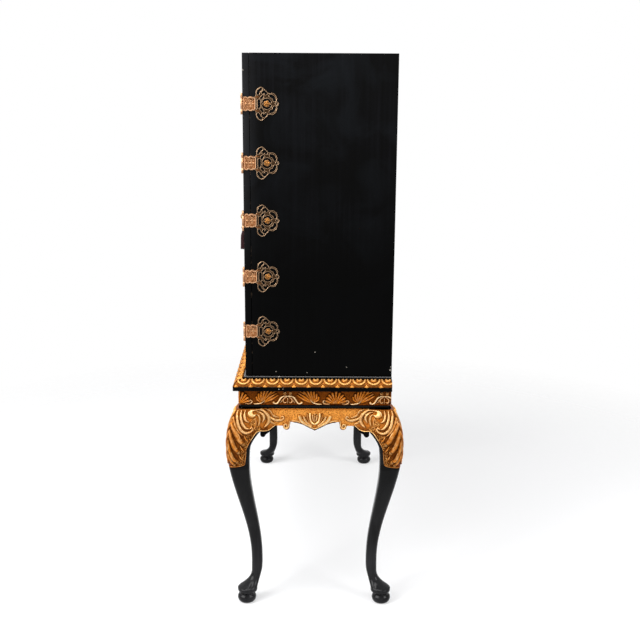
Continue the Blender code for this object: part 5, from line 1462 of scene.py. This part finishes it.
# Strands round the head, each a little longer or shorter and turned a little aside
def skirtTree():
    tree = bpy.data.node_groups.new("skirt", "GeometryNodeTree")
    for name, kind in (("Strand", "Object"), ("Count", "Int"), ("Seed", "Int"), ("Floss", "Material")):
        tree.interface.new_socket(name, in_out="INPUT", socket_type="NodeSocket" + kind)
    tree.interface.new_socket("Geometry", in_out="OUTPUT", socket_type="NodeSocketGeometry")
    given = addNode(tree, "NodeGroupInput").outputs
    line = addNode(tree, "GeometryNodeMeshLine", {"Offset": (0, 0, 0)}, {"Count": given["Count"]})
    number = addNode(tree, "GeometryNodeInputIndex")
    share = mathNode(tree, "DIVIDE", number.outputs[0], given["Count"])
    around = mathNode(tree, "MULTIPLY", share.outputs[0], math.tau)
    aside = addNode(tree, "FunctionNodeRandomValue", {"data_type": "FLOAT", 2: -0.06, 3: 0.06},
                    {"Seed": given["Seed"]})
    turn = mathNode(tree, "ADD", around.outputs[0], aside.outputs[1])
    tilt = addNode(tree, "ShaderNodeCombineXYZ", {}, {0: aside.outputs[1], 2: turn.outputs[0]})
    size = addNode(tree, "FunctionNodeRandomValue", {"data_type": "FLOAT_VECTOR", 0: (0.93, 0.9, 0.94),
                                                     1: (1.0, 1.1, 1.0)},
                   {"Seed": given["Seed"]})
    shape = addNode(tree, "GeometryNodeObjectInfo", {}, {"Object": given["Strand"]})
    copies = addNode(tree, "GeometryNodeInstanceOnPoints", {}, {
        "Points": line.outputs[0], "Instance": shape.outputs["Geometry"], "Rotation": tilt.outputs[0],
        "Scale": size.outputs[0]})
    real = addNode(tree, "GeometryNodeRealizeInstances", {}, {0: copies.outputs[0]})
    coat = addNode(tree, "GeometryNodeSetMaterial", {}, {"Geometry": real.outputs[0], "Material": given["Floss"]})
    addNode(tree, "NodeGroupOutput", {}, {0: coat.outputs[0]})
    return tree


def tasselPieces():
    look = tasselLook
    axis = np.array(look["axis"])
    points, faces = [], []
    middle = -look["loopDrop"]
    ringParts((0, 0, middle), look["loopRadius"], look["cord"], (1, 0, 0), (0, 0, 1), points, faces)
    top = middle - look["loopRadius"]
    head = top - look["cordLength"]
    # Two strands twisted together
    for phase in (0, math.pi):
        start, steps, sides = len(points), 40, 8
        for k in range(steps + 1):
            turn = phase + math.tau * 3.2 * k / steps
            spot = (0.00085 * math.cos(turn), 0.00085 * math.sin(turn),
                    top + 0.001 + (head - top - 0.002) * k / steps)
            for j in range(sides):
                roll = math.tau * j / sides
                points.append((spot[0] + look["cord"] * math.cos(roll), spot[1] + look["cord"] * math.sin(roll),
                               spot[2]))
        for k in range(steps):
            for j in range(sides):
                a, b = start + k * sides + j, start + k * sides + (j + 1) % sides
                faces.append((a, b, b + sides, a + sides))
    # Head wound with cord, bound at its neck, over the core of the skirt
    size, foot = look["head"], head - 2 * look["head"]
    turned = [(head, 0.0), (head, 0.0022)]
    for k in range(25):
        share = k / 24
        swell = math.sin(math.pi * (0.14 + 0.72 * share)) ** 0.7
        turned.append((head - 1.5 * size * share, size * 0.98 * swell * (1 - 0.035 * (k % 2))))
    for share, wide in ((1.55, 0.66), (1.6, 0.76), (1.7, 0.80), (1.75, 0.72), (1.8, 0.80), (1.9, 0.76), (2.0, 0.66)):
        turned.append((head - size * share, size * wide))
    length = look["skirt"]
    turned += [(foot - length * share, look["radius"] * wide) for share,
               wide in ((0.1, 0.66), (0.5, 0.80), (0.9, 0.84), (0.92, 0.0))]
    start = len(points)
    turnedParts(turned, points, faces, 28)
    points[start:] = [(x, z, y) for x, y, z in points[start:]]
    fitting("tassel_head", np.array(points) + axis, faces, None, "tassel", silk, ["tassel"])
    for name, count, wide, long, seed in (("tassel_skirt", look["outer"], 1.0, 1.0, 4),
                                          ("tassel_skirt_inner", look["inner"], 0.86, 0.98, 9)):
        strand = linked("strand", strandMesh(look["radius"] * wide, length * long))
        mesh = runTree(skirtTree(), {"Strand": strand, "Count": count, "Seed": seed, "Floss": silk}, name)
        bpy.data.objects.remove(strand, do_unlink=True)
        mesh.shade_smooth()
        mesh.transform(Matrix.Translation(axis + (0, 0, foot + 0.0015)))
        makePiece(name, mesh, "tassel", silk)


tasselPieces()
print("tassel made")


# Floor, light and camera

stageLook = {"floor": "#F6F6F7", "white": 0.45, "whiteness": 0.97, "ambient": 0.28, "camera": (3.159, 0.0065, 1.487),
             "lens": 53.25, "pitch": 13.27, "roll": 0.34, "yaw": 0.15}


def makeFloor():
    mesh = bpy.data.meshes.new("floor")
    bm = bmesh.new()
    bmesh.ops.create_circle(bm, cap_ends=True, segments=96, radius=2.4)
    bm.to_mesh(mesh)
    bm.free()
    floor = linked("floor", mesh)
    material, tree, shader, coords = newMaterial("white_floor",
                                                 {"Base Color": linear(stageLook["floor"]), "Roughness": 0.8})
    away = addNode(tree, "ShaderNodeVectorMath", {"operation": "LENGTH"}, {0: coords})
    fade = addNode(tree, "ShaderNodeMapRange", {1: 1.2, 2: 2.3}, {0: away.outputs["Value"]})
    share = mathNode(tree, "MULTIPLY", seenShare(tree), stageLook["white"])
    plain = addNode(tree, "ShaderNodeEmission", {"Color": (1, 1, 1, 1), "Strength": stageLook["whiteness"]})
    lit = addNode(tree, "ShaderNodeMixShader", {}, {0: share.outputs[0], 1: shader.outputs[0], 2: plain.outputs[0]})
    clear = addNode(tree, "ShaderNodeBsdfTransparent")
    mix = addNode(tree, "ShaderNodeMixShader", {}, {0: fade.outputs[0], 1: lit.outputs[0], 2: clear.outputs[0]})
    tree.links.new(mix.outputs[0], tree.nodes["Material Output"].inputs[0])
    mesh.materials.append(material)


# White to the eye and in reflections, dimmer as a light
def makeWorld():
    world = bpy.data.worlds.new("studio")
    world.use_nodes = True
    bpy.context.scene.world = world
    tree = world.node_tree
    seen = addNode(tree, "ShaderNodeBackground", {"Color": (1, 1, 1, 1), "Strength": 1.0})
    soft = addNode(tree, "ShaderNodeBackground", {"Color": (0.95, 0.97, 1.0, 1), "Strength": stageLook["ambient"]})
    mix = addNode(tree, "ShaderNodeMixShader", {}, {0: seenShare(tree), 1: soft.outputs[0], 2: seen.outputs[0]})
    tree.links.new(mix.outputs[0], tree.nodes["World Output"].inputs[0])


def makeLamp(name, place, target, size, power):
    data = bpy.data.lights.new(name, "AREA")
    data.shape = "RECTANGLE"
    data.size, data.size_y = size
    data.energy = power
    lamp = linked(name, data)
    lamp.location = place
    lamp.rotation_euler = (Vector(target) - Vector(place)).to_track_quat("-Z", "Y").to_euler()


def makeCamera():
    look = stageLook
    pitch, roll, yaw = (math.radians(look[key]) for key in ("pitch", "roll", "yaw"))
    forward = Vector((-math.cos(yaw), math.sin(yaw), 0))
    right = Vector((math.sin(yaw), math.cos(yaw), 0))
    up = Vector((0, 0, 1))
    ahead = forward * math.cos(pitch) - up * math.sin(pitch)
    over = up * math.cos(pitch) + forward * math.sin(pitch)
    across = right * math.cos(roll) + over * math.sin(roll)
    over = over * math.cos(roll) - right * math.sin(roll)
    data = bpy.data.cameras.new("camera")
    data.lens, data.sensor_width = look["lens"], 36.0
    camera = linked("camera", data)
    turn = Matrix((across, over, -ahead)).transposed()
    camera.matrix_world = Matrix.Translation(look["camera"]) @ turn.to_4x4()
    bpy.context.scene.camera = camera


makeFloor()
makeWorld()
makeLamp("softbox_left", (1.7, -2.5, 2.5), (0, 0, 0.6), (2.4, 2.0), 150)
makeLamp("softbox_right", (1.8, 2.7, 2.6), (0, 0, 0.6), (1.6, 1.6), 75)
makeLamp("softbox_top", (0.8, -0.3, 3.6), (0.2, 0, 0.6), (2.0, 1.6), 95)
makeCamera()
bpy.context.scene.view_settings.view_transform = "Standard"
print("stage set")
